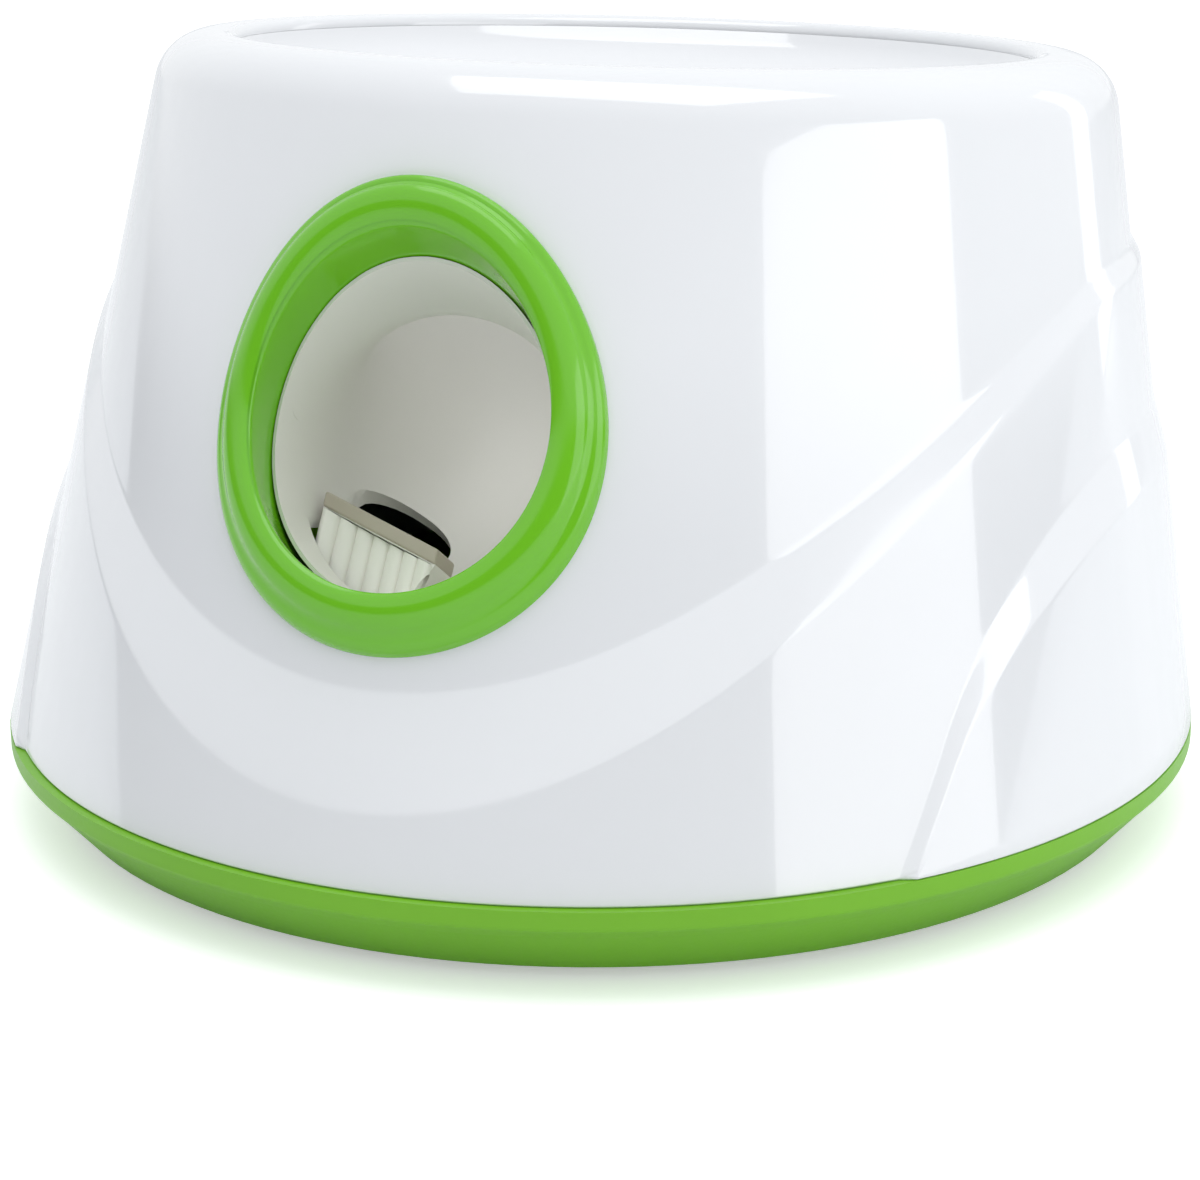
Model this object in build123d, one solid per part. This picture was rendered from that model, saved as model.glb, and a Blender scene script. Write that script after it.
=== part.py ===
from build123d import *
from math import acos, atan2, cos, degrees, exp, log, pi, radians, sin, sqrt, tan
import os

# Automatic ball launcher for dogs, in millimetres. +Z is up, the ground is z = 0, the launch port
# faces -Y and the body's widest circle is centred on the origin. Every piece is written where it sits.

# ------------------------------------------------------------ housing
body_radius = 150.0          # widest circle of the shell and of the base, at their seam
foot_drop = 3.0              # the feet lift the base this far
seam_height = 21.5           # where shell and base meet
rim_height = 185.0           # centre of the top rim
wall_taper = 0.171           # radius lost for each millimetre of height
rim_shift = 25.3             # the rim's centre lies this far behind the base's centre
rim_tilt = 4.7               # degrees by which the rim is higher in front
rim_round = 14.0             # rounding of the outer edge of the rim
rim_steps = 6                # guiding curves across that rounding
layer_step = 2.0             # each overlapping layer of the wall stands this far out
shell_wall = 3.0
rim_flat = 4.0               # level width between that rounding and the mouth over the hopper
mouth_round = 2.4            # rounding of the rim's inner edge
skin_samples = 48            # points round each guiding curve of the wall

# lower and upper edge of the bevel between the inner and middle layers, in front and at the sides
high_band_front = (37.4, 63.0)
high_band_side = (134.4, 138.7)
# the same for the bevel between the middle and outer layers, and its fall from the side to the seam
low_band_side = (87.4, 100.3)
low_band_fall = (70.0, 78.8)
low_band_spread = 38.0       # degrees of turn in which it falls
low_band_knee = 0.93         # share of the spread where the quarter ellipse runs on straight
low_band_floor = (-25.0, -15.0)
low_band_blend = 8.0

# ------------------------------------------------------------ base
base_shoulder_height = 14.5  # below this the side draws in to the foot
base_shoulder_inset = 2.6
base_foot_inset = 13.0
base_wall = 3.0
base_floor = 3.0
base_edge_round = 1.2
tongue_height = 4.0
tongue_thickness = 2.5
tongue_gap = 0.6             # between the tongue and the shell's wall

foot_radius = 9.0
foot_inset = 28.0            # from the widest circle to the middle of a foot
foot_count = 6
foot_start = 30.0
foot_bevel = 0.8

case_screw_count = 6
case_screw_inset = 23.0
case_screw_radius = 1.5
case_screw_head = 2.9
case_screw_head_height = 2.4
case_screw_length = 21.0
case_post_radius = 5.0
case_boss_radius = 6.4
case_boss_height = 6.0
case_post_top = 42.0
case_rib = 2.4
case_rib_gap = 1.5           # the ribs end this far above the tongue
thread_gap = 0.06            # round a screw's thread in its pilot hole
hole_gap = 0.4               # round a screw in a through hole
head_gap = 0.5
pilot_spare = 2.0            # a pilot hole runs on this far past the screw

# ------------------------------------------------------------ launch path
port_point = (0.0, -112.9, 119.0)   # where the launch axis leaves the front wall
launch_rise = 44.0                  # degrees above level
throat_y = -42.0                    # middle of the drop from the hopper
throat_top = 147.0
bend_radius = 38.0
chute_bore = 33.0                   # radius of the way for the ball
chute_wall = 2.6
ring_outer = 47.3                   # radius of the ring's lip about the launch axis
ring_bore = 34.6
ring_tube_wall = 2.8
ring_proud = 6.0                    # the lip stands this far off the wall
ring_depth = 14.0                   # the tunnel wall reaches this deep
ring_gap = 0.3
seat_gap = 0.05                     # between moulded faces that bear on each other
ear_thickness = 3.0
ear_length = 10.0
post_x = 49.0
post_y = (-94.0, -60.0)
post_radius = 5.0
light_place = (-92.0, 117.0)        # Y and Z of the light barrier across the pocket
light_radius = 2.5
light_head_radius = 4.0
light_head_length = 6.0
light_boss_radius = 6.0
light_boss_reach = 41.0             # the bosses end this far from the middle
light_bore_start = 28.0

hopper_wall = 2.5
hopper_flange = 3.2
hopper_knee_inset = 4.0              # the funnel's knee is this much smaller than the mouth
hopper_knee_drop = 8.0
hopper_front_slope = 0.7
spigot_bore = 30.2
spigot_length = 7.0
spigot_gap = 0.35

# ------------------------------------------------------------ arm
pivot_place = (-121.5, 49.2)        # Y and Z of the arm's shaft
arm_rest = 56.0                     # direction of the released arm above level
arm_swing = 50.0                    # degrees from cocked to released
arm_x = -14.0                       # middle of the blade and of the hammer's hollow
hammer_x = (-29.5, 1.5)
hammer_end = (50.8, 39.8)           # the slanted end of the hammer, at its left and right side
hammer_shoulder = 42.0              # below this its left side draws in
hammer_root = 26.0
hammer_root_x = (-19.0, -5.0)
hammer_thickness = 7.0
hammer_hollow = 34.0                # radius of the face that holds the ball
hammer_sink = 3.0
flute_pitch = 4.4
flute_count = 7
flute_radius = 1.35
cap_thickness = 3.4
blade_thickness = 8.0
blade_root = 7.0                    # half the depth of the blade at the hub
arm_hub_radius = 8.0
arm_hub_x = (-30.0, 7.0)
arm_shaft_radius = 3.0
arm_shaft_x = (-35.6, 18.6)
running_gap = 0.05
horn_reach = 20.0
horn_lead = 25.0                    # degrees behind straight down when released
horn_plate_x = (-23.8, -20.8)
horn_width = 4.0
horn_pin_radius = 1.8
spring_x = -28.0
slot_near = 24.0                    # the slot's near edge, from the pivot
slot_long_x = (-36.0, -12.0)        # the slot reaches further out on the left
slot_long = 71.0
slot_short_x = (-13.0, 3.9)
slot_short = 50.0
slot_corner = 7.0
slot_top = 97.0
slot_front = 4.0                    # degrees of slot in front of the released arm
slot_behind = 14.0                  # and behind the cocked arm

# ------------------------------------------------------------ winding gears
pressure_angle = 20.0
addendum = 0.9                      # in modules
dedendum = 1.2
tooth_slack = 0.12                  # taken off each tooth, in modules
wind_module = 1.0
quadrant_positions = 64
quadrant_teeth = (-1, 9)            # first and last tooth, counted from the one in mesh
winder_positions = 16
winder_teeth = 10
winder_angle = -14.0                # direction from the pivot to the drive shaft
drive_module = 1.0
drive_teeth = 46
compound_small_teeth = 14
compound_angle = 3.0
motor_module = 0.8
compound_large_teeth = 48
motor_teeth = 12
motor_angle = 40.0
gear_shaft_radius = 2.0
gear_hub_radius = 5.0
web_hole_radius = 4.5
web_hole_circle = 14.2
web_hole_count = 5
motor_shaft_spare = 0.4             # the motor's shaft shows this far past its pinion
quadrant_x = (12.0, 17.5)
quadrant_hub_radius = 7.5
winder_x = (11.7, 18.0)
drive_x = (19.0, 24.0)
compound_small_x = (18.6, 26.2)
compound_large_x = (27.0, 31.0)
motor_pinion_x = (26.6, 31.4)

# ------------------------------------------------------------ gearbox, bracket and bushings
plate_x = (8.4, 10.4)
cover_x = (34.0, 36.5)
bracket_x = (-34.6, -32.1)
pad_height = 6.0                    # the frames' feet stand on pads of the base
frame_foot = 7.0
frame_foot_length = 10.0
frame_foot_thickness = 3.0
frame_screw_radius = 1.4
frame_screw_head = 2.6
frame_screw_head_height = 1.8
frame_screw_length = 8.0
pillar_radius = 3.5
pillar_places = ((-104.0, 15.8), (-66.0, 15.8), (-30.0, 30.0))
pillar_screw_length = 10.0
plate_feet = (-92.0, -45.0)
cover_feet = (-80.0, -34.0)
bracket_feet = (-112.0,)
plate_y = (-129.0, -22.0)           # the plates' lower edges, and their upper corners as Y and Z
plate_corners = ((-22.0, 40.0), (-38.0, 54.0), (-60.0, 61.0), (-104.0, 61.0), (-112.0, 58.0), (-129.0, 56.0))
cover_y = (-111.0, -22.0)
cover_corners = ((-16.0, 46.0), (-16.0, 74.0), (-52.0, 74.0), (-66.0, 66.0), (-98.0, 64.0), (-111.0, 50.0))
bracket_y = (-128.0, -101.0)
bracket_corners = ((-101.0, 40.0), (-113.0, 57.0), (-128.0, 57.0))
bushing_wall = 1.6
bushing_flange = 1.0
bushing_flange_radius = 6.4
motor_radius = 14.0
motor_length = 34.0
motor_nose_radius = 5.0
motor_nose = 2.2
motor_tail_radius = 4.0
motor_tail = 2.5
motor_shaft_radius = 1.2
motor_flat = 11.0                   # the can is flattened to this half height

# ------------------------------------------------------------ distance setting
spring_radius = 3.6
spring_crests = 12
spring_groove = 1.1
spring_ends = (-107.0, -65.0)
wire_radius = 0.6
carriage_y = (-56.0, -40.0)
carriage_width = 9.0
carriage_top = 39.0
carriage_travel = 10.0
fork_reach = 7.0
fork_plate = 1.7
fork_pin_y = -59.5
fork_pin_radius = 1.3
fork_half_height = 4.0
guide_top = 22.0
guide_y = (-70.0, -24.0)
guide_width = 16.0
guide_base = 3.0
tongue_width = 4.4
tongue_depth = 4.0
slide_gap = 0.3
lead_screw_radius = 2.0
lead_screw_z = 25.0
lead_screw_tip = -60.0
lead_screw_lead = 8.0
setting_motor_radius = 6.0
setting_motor_y = (-9.0, 15.0)

# ------------------------------------------------------------ power
cell_radius = 13.1
cell_length = 50.0
cell_pitch = 26.8
cell_rows = 3
cells_per_row = 2
cell_nub_radius = 3.0
cell_nub = 1.0
cell_gap = 0.4
tray_front = 22.0
tray_wall = 2.0
tray_end_gap = 1.8
well_margin = 0.6
door_thickness = 3.0
door_gap = 0.4
door_pin_radius = 0.9
door_pin_length = 2.4
door_notch = 8.0
contact_thickness = 0.5
contact_size = (16.0, 18.0)
contact_bump_radius = 3.6

# ------------------------------------------------------------ electronics and controls
board_size = (52.0, 56.0)
board_centre = (-92.0, -6.0)
board_thickness = 1.6
board_post_height = 8.0
board_post_radius = 3.5
board_screw_radius = 1.25
board_screw_head = 2.3
board_screw_head_height = 1.6
board_screw_length = 7.0
board_screw_inset = 4.0
# components from the board's middle: X, Y, width, depth and height; then X, Y, radius and height
board_blocks = ((0, 2, 14, 14, 2.0), (-14, -12, 8, 6, 1.6), (14, -14, 15, 12, 11.0), (0, -23, 18, 6, 7.0),
                (0, 23, 24, 6, 7.0))
board_cans = ((-15, 10, 4.0, 11.0), (15, 12, 3.2, 9.0))
buzzer_radius = 11.0
buzzer_height = 9.0
buzzer_place = (88.0, -52.0)
buzzer_seat_wall = 2.0
buzzer_seat_height = 4.0
buzzer_hole_radius = 1.2
buzzer_hole_circle = 5.0
buzzer_holes = 5

panel_sink = 5.75                   # the flat panel lies this far inside the wall's back
panel_z = 74.0
panel_cut = 9.6                     # the panel's hole in the wall starts this far inside it
panel_size = (66.0, 34.0)
panel_corner = 7.0
panel_thickness = 3.2
panel_rim = 4.0
panel_rim_thickness = 2.0
panel_gap = 0.35
button_x = -2.0
button_radius = 6.5
button_proud = 2.0
button_round = 1.1
button_collar = 1.4
button_collar_thickness = 1.2
button_travel = 1.5
rocker_x = 20.0
rocker_size = (12.0, 15.2)
rocker_tilt = 7.0                   # either side of the middle
rocker_depth = 6.5                  # the pivot lies this far behind the panel's face
rocker_proud = 2.4
rocker_tail = 3.0
rocker_tail_share = 0.6             # height of the rocker's inner end, of its face
rocker_pin_radius = 1.2
rocker_pin_length = 2.5
rocker_ear = 3.0
rocker_hole_margin = 1.5
jack_x = -24.0
jack_radius = 4.5
jack_bore = 3.1
jack_pin = 1.0
jack_depth = 11.0
jack_body = (11.0, 12.0, 11.0)
lens_radius = 1.6
lens_pitch = 7.0
lens_rise = 11.0
lens_count = 3
lens_proud = 0.6
panel_board_x = (-16.0, 10.0)
panel_board_height = 28.0
panel_board_gap = 5.1               # between the panel's back and its board
panel_board_posts = (-13.0, 7.0)
panel_board_post_drop = 11.5
tact_height = 2.0
tact_size = 6.0

# ------------------------------------------------------------ worked out from the above
far = 600.0                          # larger than the launcher, for cutting
base_shoulder_radius = body_radius - base_shoulder_inset
base_foot_radius = body_radius - base_foot_inset
foot_circle = body_radius - foot_inset
case_screw_circle = body_radius - case_screw_inset
floor_top = foot_drop + base_floor
pad_top = floor_top + pad_height
rim_centre = Vector(0, rim_shift, rim_height)
rim_up = Vector(0, sin(radians(rim_tilt)), cos(radians(rim_tilt)))
launch_out = Vector(0, -cos(radians(launch_rise)), sin(radians(launch_rise)))
port = Vector(*port_point)
pivot = Vector(0, *pivot_place)
arm_out = Vector(0, cos(radians(arm_rest)), sin(radians(arm_rest)))
strike = Vector(0, -arm_out.Z, arm_out.Y)
pivot_line = Axis(pivot, (1, 0, 0))
arm_face = Plane(pivot, x_dir=(1, 0, 0), z_dir=strike)   # X across the hammer, Y along the arm


def beside(origin, angle, distance):
    """Point at an angle above +Y and a distance from another, in the plane of the gears."""
    return origin + Vector(0, cos(radians(angle)), sin(radians(angle))) * distance


drive_axis = beside(pivot, winder_angle, wind_module * (quadrant_positions + winder_positions) / 2)
compound_axis = beside(drive_axis, compound_angle, drive_module * (drive_teeth + compound_small_teeth) / 2)
motor_axis = beside(compound_axis, motor_angle, motor_module * (compound_large_teeth + motor_teeth) / 2)
horn_axis = beside(pivot, horn_lead - 90, horn_reach)
chute_outer = chute_bore + chute_wall
ring_seat = 2 * layer_step           # the ring bears on the innermost layer
crossing = port - launch_out * ((throat_y - port.Y) / cos(radians(launch_rise)))
bend_turn = 90.0 + launch_rise
bend_tangent = bend_radius * tan(radians(bend_turn / 2))
bend_top = crossing + Vector(0, 0, bend_tangent)
bend_front = crossing + launch_out * bend_tangent
bend_middle = bend_top - Vector(0, bend_radius, 0)
ear_z = bend_middle.Z - sqrt(bend_radius**2 - (post_y[1] - bend_middle.Y) ** 2) - ear_thickness
case_boss_top = foot_drop + case_boss_height
case_head_seat = foot_drop + case_screw_head_height + head_gap
tray_inner = cells_per_row * cell_length / 2 + tray_end_gap
tray_back = tray_front + cell_rows * cell_pitch + cell_gap
cell_z = floor_top + cell_gap + cell_radius
tray_roof = cell_z + cell_radius + cell_gap
well_half = tray_inner - well_margin
well_y = (tray_front + well_margin, tray_back - well_margin)
door_hinge = Vector(0, well_y[0] + door_gap + door_thickness / 2, foot_drop + door_thickness / 2)
door_half = well_half - door_gap
board_bottom = floor_top + board_post_height
board_top = board_bottom + board_thickness
tongue_top = seam_height + tongue_height


# ------------------------------------------------------------ the leaning wall
def cone_radius(z):
    """Radius of the outermost layer at a height."""
    return body_radius - wall_taper * (z - seam_height)


def section_shift(z):
    """How far back the section at a height is centred."""
    return rim_shift * (z - seam_height) / (rim_height - seam_height)


def skin_point(turn, z, inset):
    """Point of the wall at a turn from the port side, in degrees."""
    r = cone_radius(z) - inset
    return Vector(r * sin(radians(turn)), section_shift(z) - r * cos(radians(turn)), z)


def side_turn(turn):
    """Turn from the port side to the nearer flank, held at 90 degrees round the back."""
    return min(turn, 360 - turn, 90.0)


def high_band(edge):
    """Height of an edge of the upper bevel: a parabola over the front, level round the back."""
    front = high_band_front[edge]
    rise = high_band_side[edge] - front
    return lambda turn: front + rise * sin(radians(side_turn(turn))) ** 2


def low_band(edge):
    """Height of an edge of the lower bevel: a quarter ellipse that falls to the seam in front."""
    knee_slope = low_band_knee / sqrt(1 - low_band_knee**2)

    def height(turn):
        reach = (90.0 - side_turn(turn)) / low_band_spread
        fall = 1 - sqrt(1 - min(reach, low_band_knee) ** 2)
        fall += max(0.0, reach - low_band_knee) * knee_slope
        over = (low_band_side[edge] - low_band_fall[edge] * fall - low_band_floor[edge]) / low_band_blend
        return low_band_floor[edge] + low_band_blend * (over if over > 30 else log(1 + exp(over)))

    return height


def rim_line(drop, inset):
    """Height at which the wall meets a plane this far under the rim."""

    def height(turn):
        z = rim_height
        for _ in range(24):
            back = skin_point(turn, z, inset).Y - rim_shift
            z = rim_height - drop / cos(radians(rim_tilt)) - back * tan(radians(rim_tilt))
        return z

    return height


def closed_curve(points):
    """Smooth closed wire through points that are evenly spaced in turn."""
    marks = [i / skin_samples for i in range(skin_samples + 1)]
    return Wire([Edge.make_spline(points, periodic=True, parameters=marks)])


def skin_turns():
    """Turns of the guiding points of one closed curve."""
    return [360 * i / skin_samples for i in range(skin_samples)]


def wall_ring(height, inset):
    """Closed curve round the wall at a height that may vary with the turn."""
    return closed_curve([skin_point(turn, height(turn), inset) for turn in skin_turns()])


def rim_rings(drop, inset, radius):
    """Closed curves across the rounding between the wall and the plane of the rim."""
    level = rim_line(drop, inset)
    rings = [[] for _ in range(rim_steps + 1)]
    for turn in skin_turns():
        edge = skin_point(turn, level(turn), inset)
        down = skin_point(turn, level(turn) - radius, inset) - edge
        outward = edge - rim_centre
        outward = (outward - rim_up * outward.dot(rim_up)).normalized()
        lean = atan2(down.dot(outward), -down.dot(rim_up))
        middle = edge - outward * (radius * tan((pi / 2 - lean) / 2)) - rim_up * radius
        for step, ring in enumerate(rings):
            angle = lean + (pi / 2 - lean) * step / rim_steps
            ring.append(middle + outward * (radius * cos(angle)) + rim_up * (radius * sin(angle)))
    return [closed_curve(ring) for ring in rings]


def layered_body(inset, drop, radius):
    """Solid inside the layered wall above the seam, moved in by inset and down from the rim by drop."""
    start = low_band_floor[0] - low_band_blend
    skirt = [
        wall_ring(lambda turn: start, inset),
        wall_ring(low_band(0), inset),
        wall_ring(low_band(1), inset + layer_step),
        wall_ring(high_band(0), inset + layer_step),
        wall_ring(high_band(1), inset + 2 * layer_step),
    ]
    crown = rim_rings(drop, inset + 2 * layer_step, radius)
    faces = [*Shell.make_loft(skirt + crown[:1], ruled=True).faces(), *Shell.make_loft(crown).faces()]
    body = Solid(Shell([*faces, Face(skirt[0]), Face(crown[-1])]))
    return body - Pos(0, 0, seam_height - far) * Box(2 * far, 2 * far, 2 * far)


def plain_cone(inset):
    """Smooth leaning cone, moved in from the outermost layer by inset."""
    ends = (foot_drop, rim_height + bend_tangent)
    return Solid.make_loft([wall_ring(lambda turn, z=z: z, inset) for z in ends], ruled=True)


def rim_plane(drop):
    """Plane parallel to the tilted rim and lower."""
    return Plane(rim_centre - rim_up * drop, x_dir=(1, 0, 0), z_dir=rim_up)


mouth_radius = cone_radius(rim_height) - 2 * layer_step - rim_round - rim_flat
hopper_knee_radius = mouth_radius - hopper_knee_inset
tongue_outer = cone_radius(tongue_top) - section_shift(tongue_top) - layer_step - shell_wall - tongue_gap
panel_plane = section_shift(panel_z) + cone_radius(panel_z) - panel_sink
panel_back = panel_plane - panel_thickness - panel_rim_thickness
rocker_axis = Vector(rocker_x, panel_plane - rocker_depth, panel_z)


# ------------------------------------------------------------ plain shapes
def along_launch(radius, inside, outside):
    """Cylinder on the launch axis, from inside the port to outside it."""
    start = Plane(port - launch_out * inside, x_dir=(1, 0, 0), z_dir=launch_out)
    return extrude(start * Circle(radius), inside + outside)


def rod(axis, ends, radius):
    """Cylinder along X through a point."""
    return extrude(Plane((ends[0], axis.Y, axis.Z), z_dir=(1, 0, 0)) * Circle(radius), ends[1] - ends[0])


def rod_y(x, z, ends, radius):
    """Cylinder along Y."""
    return extrude(Plane((x, ends[0], z), z_dir=(0, 1, 0)) * Circle(radius), ends[1] - ends[0])


def upright(x, y, ends, radius):
    """Cylinder along Z."""
    return Pos(x, y, ends[0]) * extrude(Circle(radius), ends[1] - ends[0])


def block(x_ends, y_ends, z_ends):
    """Box between two corners."""
    ends = (x_ends, y_ends, z_ends)
    middle = [(low + high) / 2 for low, high in ends]
    return Pos(*middle) * Box(*[high - low for low, high in ends])


def patch(x_ends, y_ends):
    """Rectangle between two corners."""
    size = (x_ends[1] - x_ends[0], y_ends[1] - y_ends[0])
    return Pos(sum(x_ends) / 2, sum(y_ends) / 2) * Rectangle(*size)


def slab(outline, x_ends):
    """Plate across X whose outline is given by Y and Z."""
    start = Plane((x_ends[0], 0, 0), x_dir=(0, 1, 0), z_dir=(1, 0, 0))
    return extrude(start * make_face(Polyline(*outline, close=True)), x_ends[1] - x_ends[0])


def around(count, start, circle):
    """Points evenly spaced on a circle about the body's axis."""
    turns = [radians(start + 360 * i / count) for i in range(count)]
    return [(circle * cos(turn), circle * sin(turn)) for turn in turns]


def screw(radius, length, head_radius, head_height):
    """Pan-head screw whose head sits on the XY plane, with its thread below."""
    head = extrude(Circle(head_radius), head_height)
    head = chamfer(head.edges().sort_by(Axis.Z)[-1], head_height / 3)
    return head + extrude(Circle(radius), -length)


def write(name, *solids):
    """Write one node, of one or more separate solids."""
    shape = solids[0] if len(solids) == 1 else Compound(children=list(solids))
    export_step(shape, f"parts/{name}.step")


os.makedirs("parts", exist_ok=True)

# ------------------------------------------------------------ places that several pieces share
foot_places = around(foot_count, foot_start, foot_circle)
case_places = around(case_screw_count, 0.0, case_screw_circle)
post_places = [(side * post_x, y) for side in (-1, 1) for y in post_y]
board_corners = [
    (board_centre[0] + i * (board_size[0] / 2 - board_screw_inset),
     board_centre[1] + j * (board_size[1] / 2 - board_screw_inset))
    for i in (-1, 1)
    for j in (-1, 1)
]


def frame_feet(x_ends, places, outward):
    """Feet of an upright plate: each foot's X ends, Y ends and the place of its screw."""
    edge = x_ends[1] if outward > 0 else x_ends[0]
    feet = []
    for y in places:
        span = sorted((edge, edge + outward * frame_foot))
        middle = edge + outward * (frame_foot + frame_screw_radius) / 2
        feet.append((tuple(span), (y - frame_foot_length / 2, y + frame_foot_length / 2), (middle, y)))
    return feet


plate_foot_list = frame_feet(plate_x, plate_feet, 1)
cover_foot_list = frame_feet(cover_x, cover_feet, 1)
bracket_foot_list = frame_feet(bracket_x, bracket_feet, -1)
all_frame_feet = plate_foot_list + cover_foot_list + bracket_foot_list

# ------------------------------------------------------------ base pan
base_outline = [
    (0, foot_drop),
    (base_foot_radius, foot_drop),
    (base_shoulder_radius, base_shoulder_height),
    (body_radius, base_shoulder_height + base_shoulder_inset),
    (body_radius, seam_height),
    (tongue_outer, seam_height),
    (tongue_outer, tongue_top),
    (tongue_outer - tongue_thickness, tongue_top),
    (tongue_outer - tongue_thickness, base_shoulder_height + base_wall),
    (base_foot_radius - base_wall, floor_top),
    (0, floor_top),
]
pan = revolve(make_face(Plane.XZ * Polyline(*base_outline, close=True)), Axis.Z)
outside_edges = [
    edge for edge in pan.edges().filter_by(GeomType.CIRCLE)
    if edge.radius >= base_foot_radius and edge.center().Z < seam_height
]
pan = fillet(outside_edges, base_edge_round)
for x, y in case_places:
    pan += upright(x, y, (foot_drop, case_boss_top), case_boss_radius)
    pan -= upright(x, y, (foot_drop, case_head_seat), case_screw_head + head_gap)
    pan -= upright(x, y, (foot_drop, case_boss_top), case_screw_radius + hole_gap)
pan -= block((-well_half, well_half), well_y, (0, floor_top))
pin_reach = door_half + door_pin_length + door_gap
pan -= rod(door_hinge, (-pin_reach, pin_reach), door_pin_radius + running_gap)
for x, y in board_corners:
    pan += upright(x, y, (floor_top, board_bottom), board_post_radius)
    pan -= upright(x, y, (floor_top, board_bottom), board_screw_radius + thread_gap)
for x, y in post_places:
    pan += upright(x, y, (floor_top, ear_z), post_radius)
    pan -= upright(x, y, (ear_z - board_screw_length - pilot_spare, ear_z), board_screw_radius + thread_gap)
for x_ends, y_ends, place in all_frame_feet:
    pan += block(x_ends, y_ends, (floor_top, pad_top))
    pan -= upright(*place, (floor_top, pad_top), frame_screw_radius + thread_gap)
pan += upright(*buzzer_place, (floor_top, floor_top + buzzer_seat_height), buzzer_radius + buzzer_seat_wall)
pan -= upright(*buzzer_place, (floor_top, floor_top + buzzer_seat_height), buzzer_radius + running_gap)
for x, y in around(buzzer_holes, 0.0, buzzer_hole_circle):
    pan -= upright(buzzer_place[0] + x, buzzer_place[1] + y, (0, floor_top), buzzer_hole_radius)
write("base_pan", pan)

feet = [upright(x, y, (0, foot_drop), foot_radius) for x, y in foot_places]
write("rubber_feet", *[chamfer(foot.edges().sort_by(Axis.Z)[0], foot_bevel) for foot in feet])

# ------------------------------------------------------------ upper shell
shell = layered_body(0, 0, rim_round) - layered_body(shell_wall, shell_wall, rim_round - shell_wall)
shell -= extrude(rim_plane(2 * shell_wall) * Circle(mouth_radius), far)
mouth_edge = shell.edges().filter_by(GeomType.CIRCLE).sort_by(Axis(rim_centre, rim_up))[-1]
shell = fillet(mouth_edge, mouth_round)
for x, y in case_places:
    post = upright(x, y, (case_boss_top, case_post_top), case_post_radius)
    turn = degrees(atan2(y, x))
    rib = block((case_screw_circle, body_radius), (-case_rib / 2, case_rib / 2),
                (tongue_top + case_rib_gap, case_post_top))
    post += (Rot(0, 0, turn) * rib) & plain_cone(layer_step + tongue_gap)
    post -= upright(x, y, (case_boss_top, case_head_seat + case_screw_length + pilot_spare),
                    case_screw_radius + thread_gap)
    shell += post
shell -= along_launch(ring_bore + ring_tube_wall + ring_gap, bend_tangent / 2, bend_tangent)
panel_face = Plane((0, panel_plane, panel_z), x_dir=(-1, 0, 0), z_dir=(0, 1, 0))
panel_hole = RectangleRounded(panel_size[0] + 2 * panel_gap, panel_size[1] + 2 * panel_gap, panel_corner)
shell -= extrude(panel_face.offset(-panel_cut) * panel_hole, panel_cut + 2 * panel_sink)
write("upper_shell", shell)

# ------------------------------------------------------------ port ring
lip = along_launch(ring_outer, bend_tangent / 2, bend_tangent) & plain_cone(ring_seat - ring_proud)
lip -= plain_cone(ring_seat - seat_gap)
tunnel = along_launch(ring_bore + ring_tube_wall, bend_tangent / 2, bend_tangent)
tunnel = (tunnel & plain_cone(ring_seat - ring_proud / 2)) - plain_cone(ring_seat + ring_depth)
ring = lip + tunnel - along_launch(ring_bore, bend_tangent, bend_tangent)
write("port_ring", ring)

# ------------------------------------------------------------ launch chute
def elbow(radius, outside, top):
    """Way of the ball: from outside the port, round the bend and up to the hopper."""
    bend = revolve(Plane(bend_top) * Circle(radius), Axis(bend_middle, (1, 0, 0)), -bend_turn)
    drop = upright(bend_top.X, bend_top.Y, (bend_top.Z, top), radius)
    reach = (port - bend_front).length + outside
    front = extrude(Plane(bend_front, x_dir=(1, 0, 0), z_dir=launch_out) * Circle(radius), reach)
    return bend + drop + front


way = elbow(chute_bore, bend_tangent, throat_top + spigot_length)
chute = elbow(chute_outer, bend_radius, throat_top)
for x, y in post_places:
    side = 1 if x > 0 else -1
    span = sorted((side * (chute_bore - 1), side * (post_x + post_radius)))
    ear = block(span, (y - ear_length / 2, y + ear_length / 2), (ear_z, ear_z + ear_thickness))
    chute += ear - upright(x, y, (ear_z, ear_z + ear_thickness), board_screw_radius + hole_gap)
light_axis = Vector(0, *light_place)
for side in (-1, 1):
    chute += rod(light_axis, sorted((side * light_bore_start, side * light_boss_reach)), light_boss_radius)
chute = (chute & plain_cone(ring_seat + ring_depth + ring_gap)) - way
light_reach = light_boss_reach + light_head_length
chute -= rod(light_axis, (-light_reach, light_reach), light_radius + running_gap)
slot = fillet(patch(slot_long_x, (slot_near, slot_long)).vertices().group_by(Axis.Y)[-1], slot_corner)
slot += patch(slot_short_x, (slot_near, slot_short))
slot_turn = slot_front + arm_swing + slot_behind
slot = revolve(arm_face.rotated((slot_front, 0, 0)) * slot, pivot_line, -slot_turn)
chute -= slot & block((-far, far), (-far, far), (0, slot_top))
write("launch_chute", chute)

emitter = rod(light_axis, (-light_boss_reach, 1 - chute_outer), light_radius)
emitter += rod(light_axis, (-light_reach, -light_boss_reach), light_head_radius)
write("sensor_emitter", emitter)
write("sensor_receiver", mirror(emitter, Plane.YZ))

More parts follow.
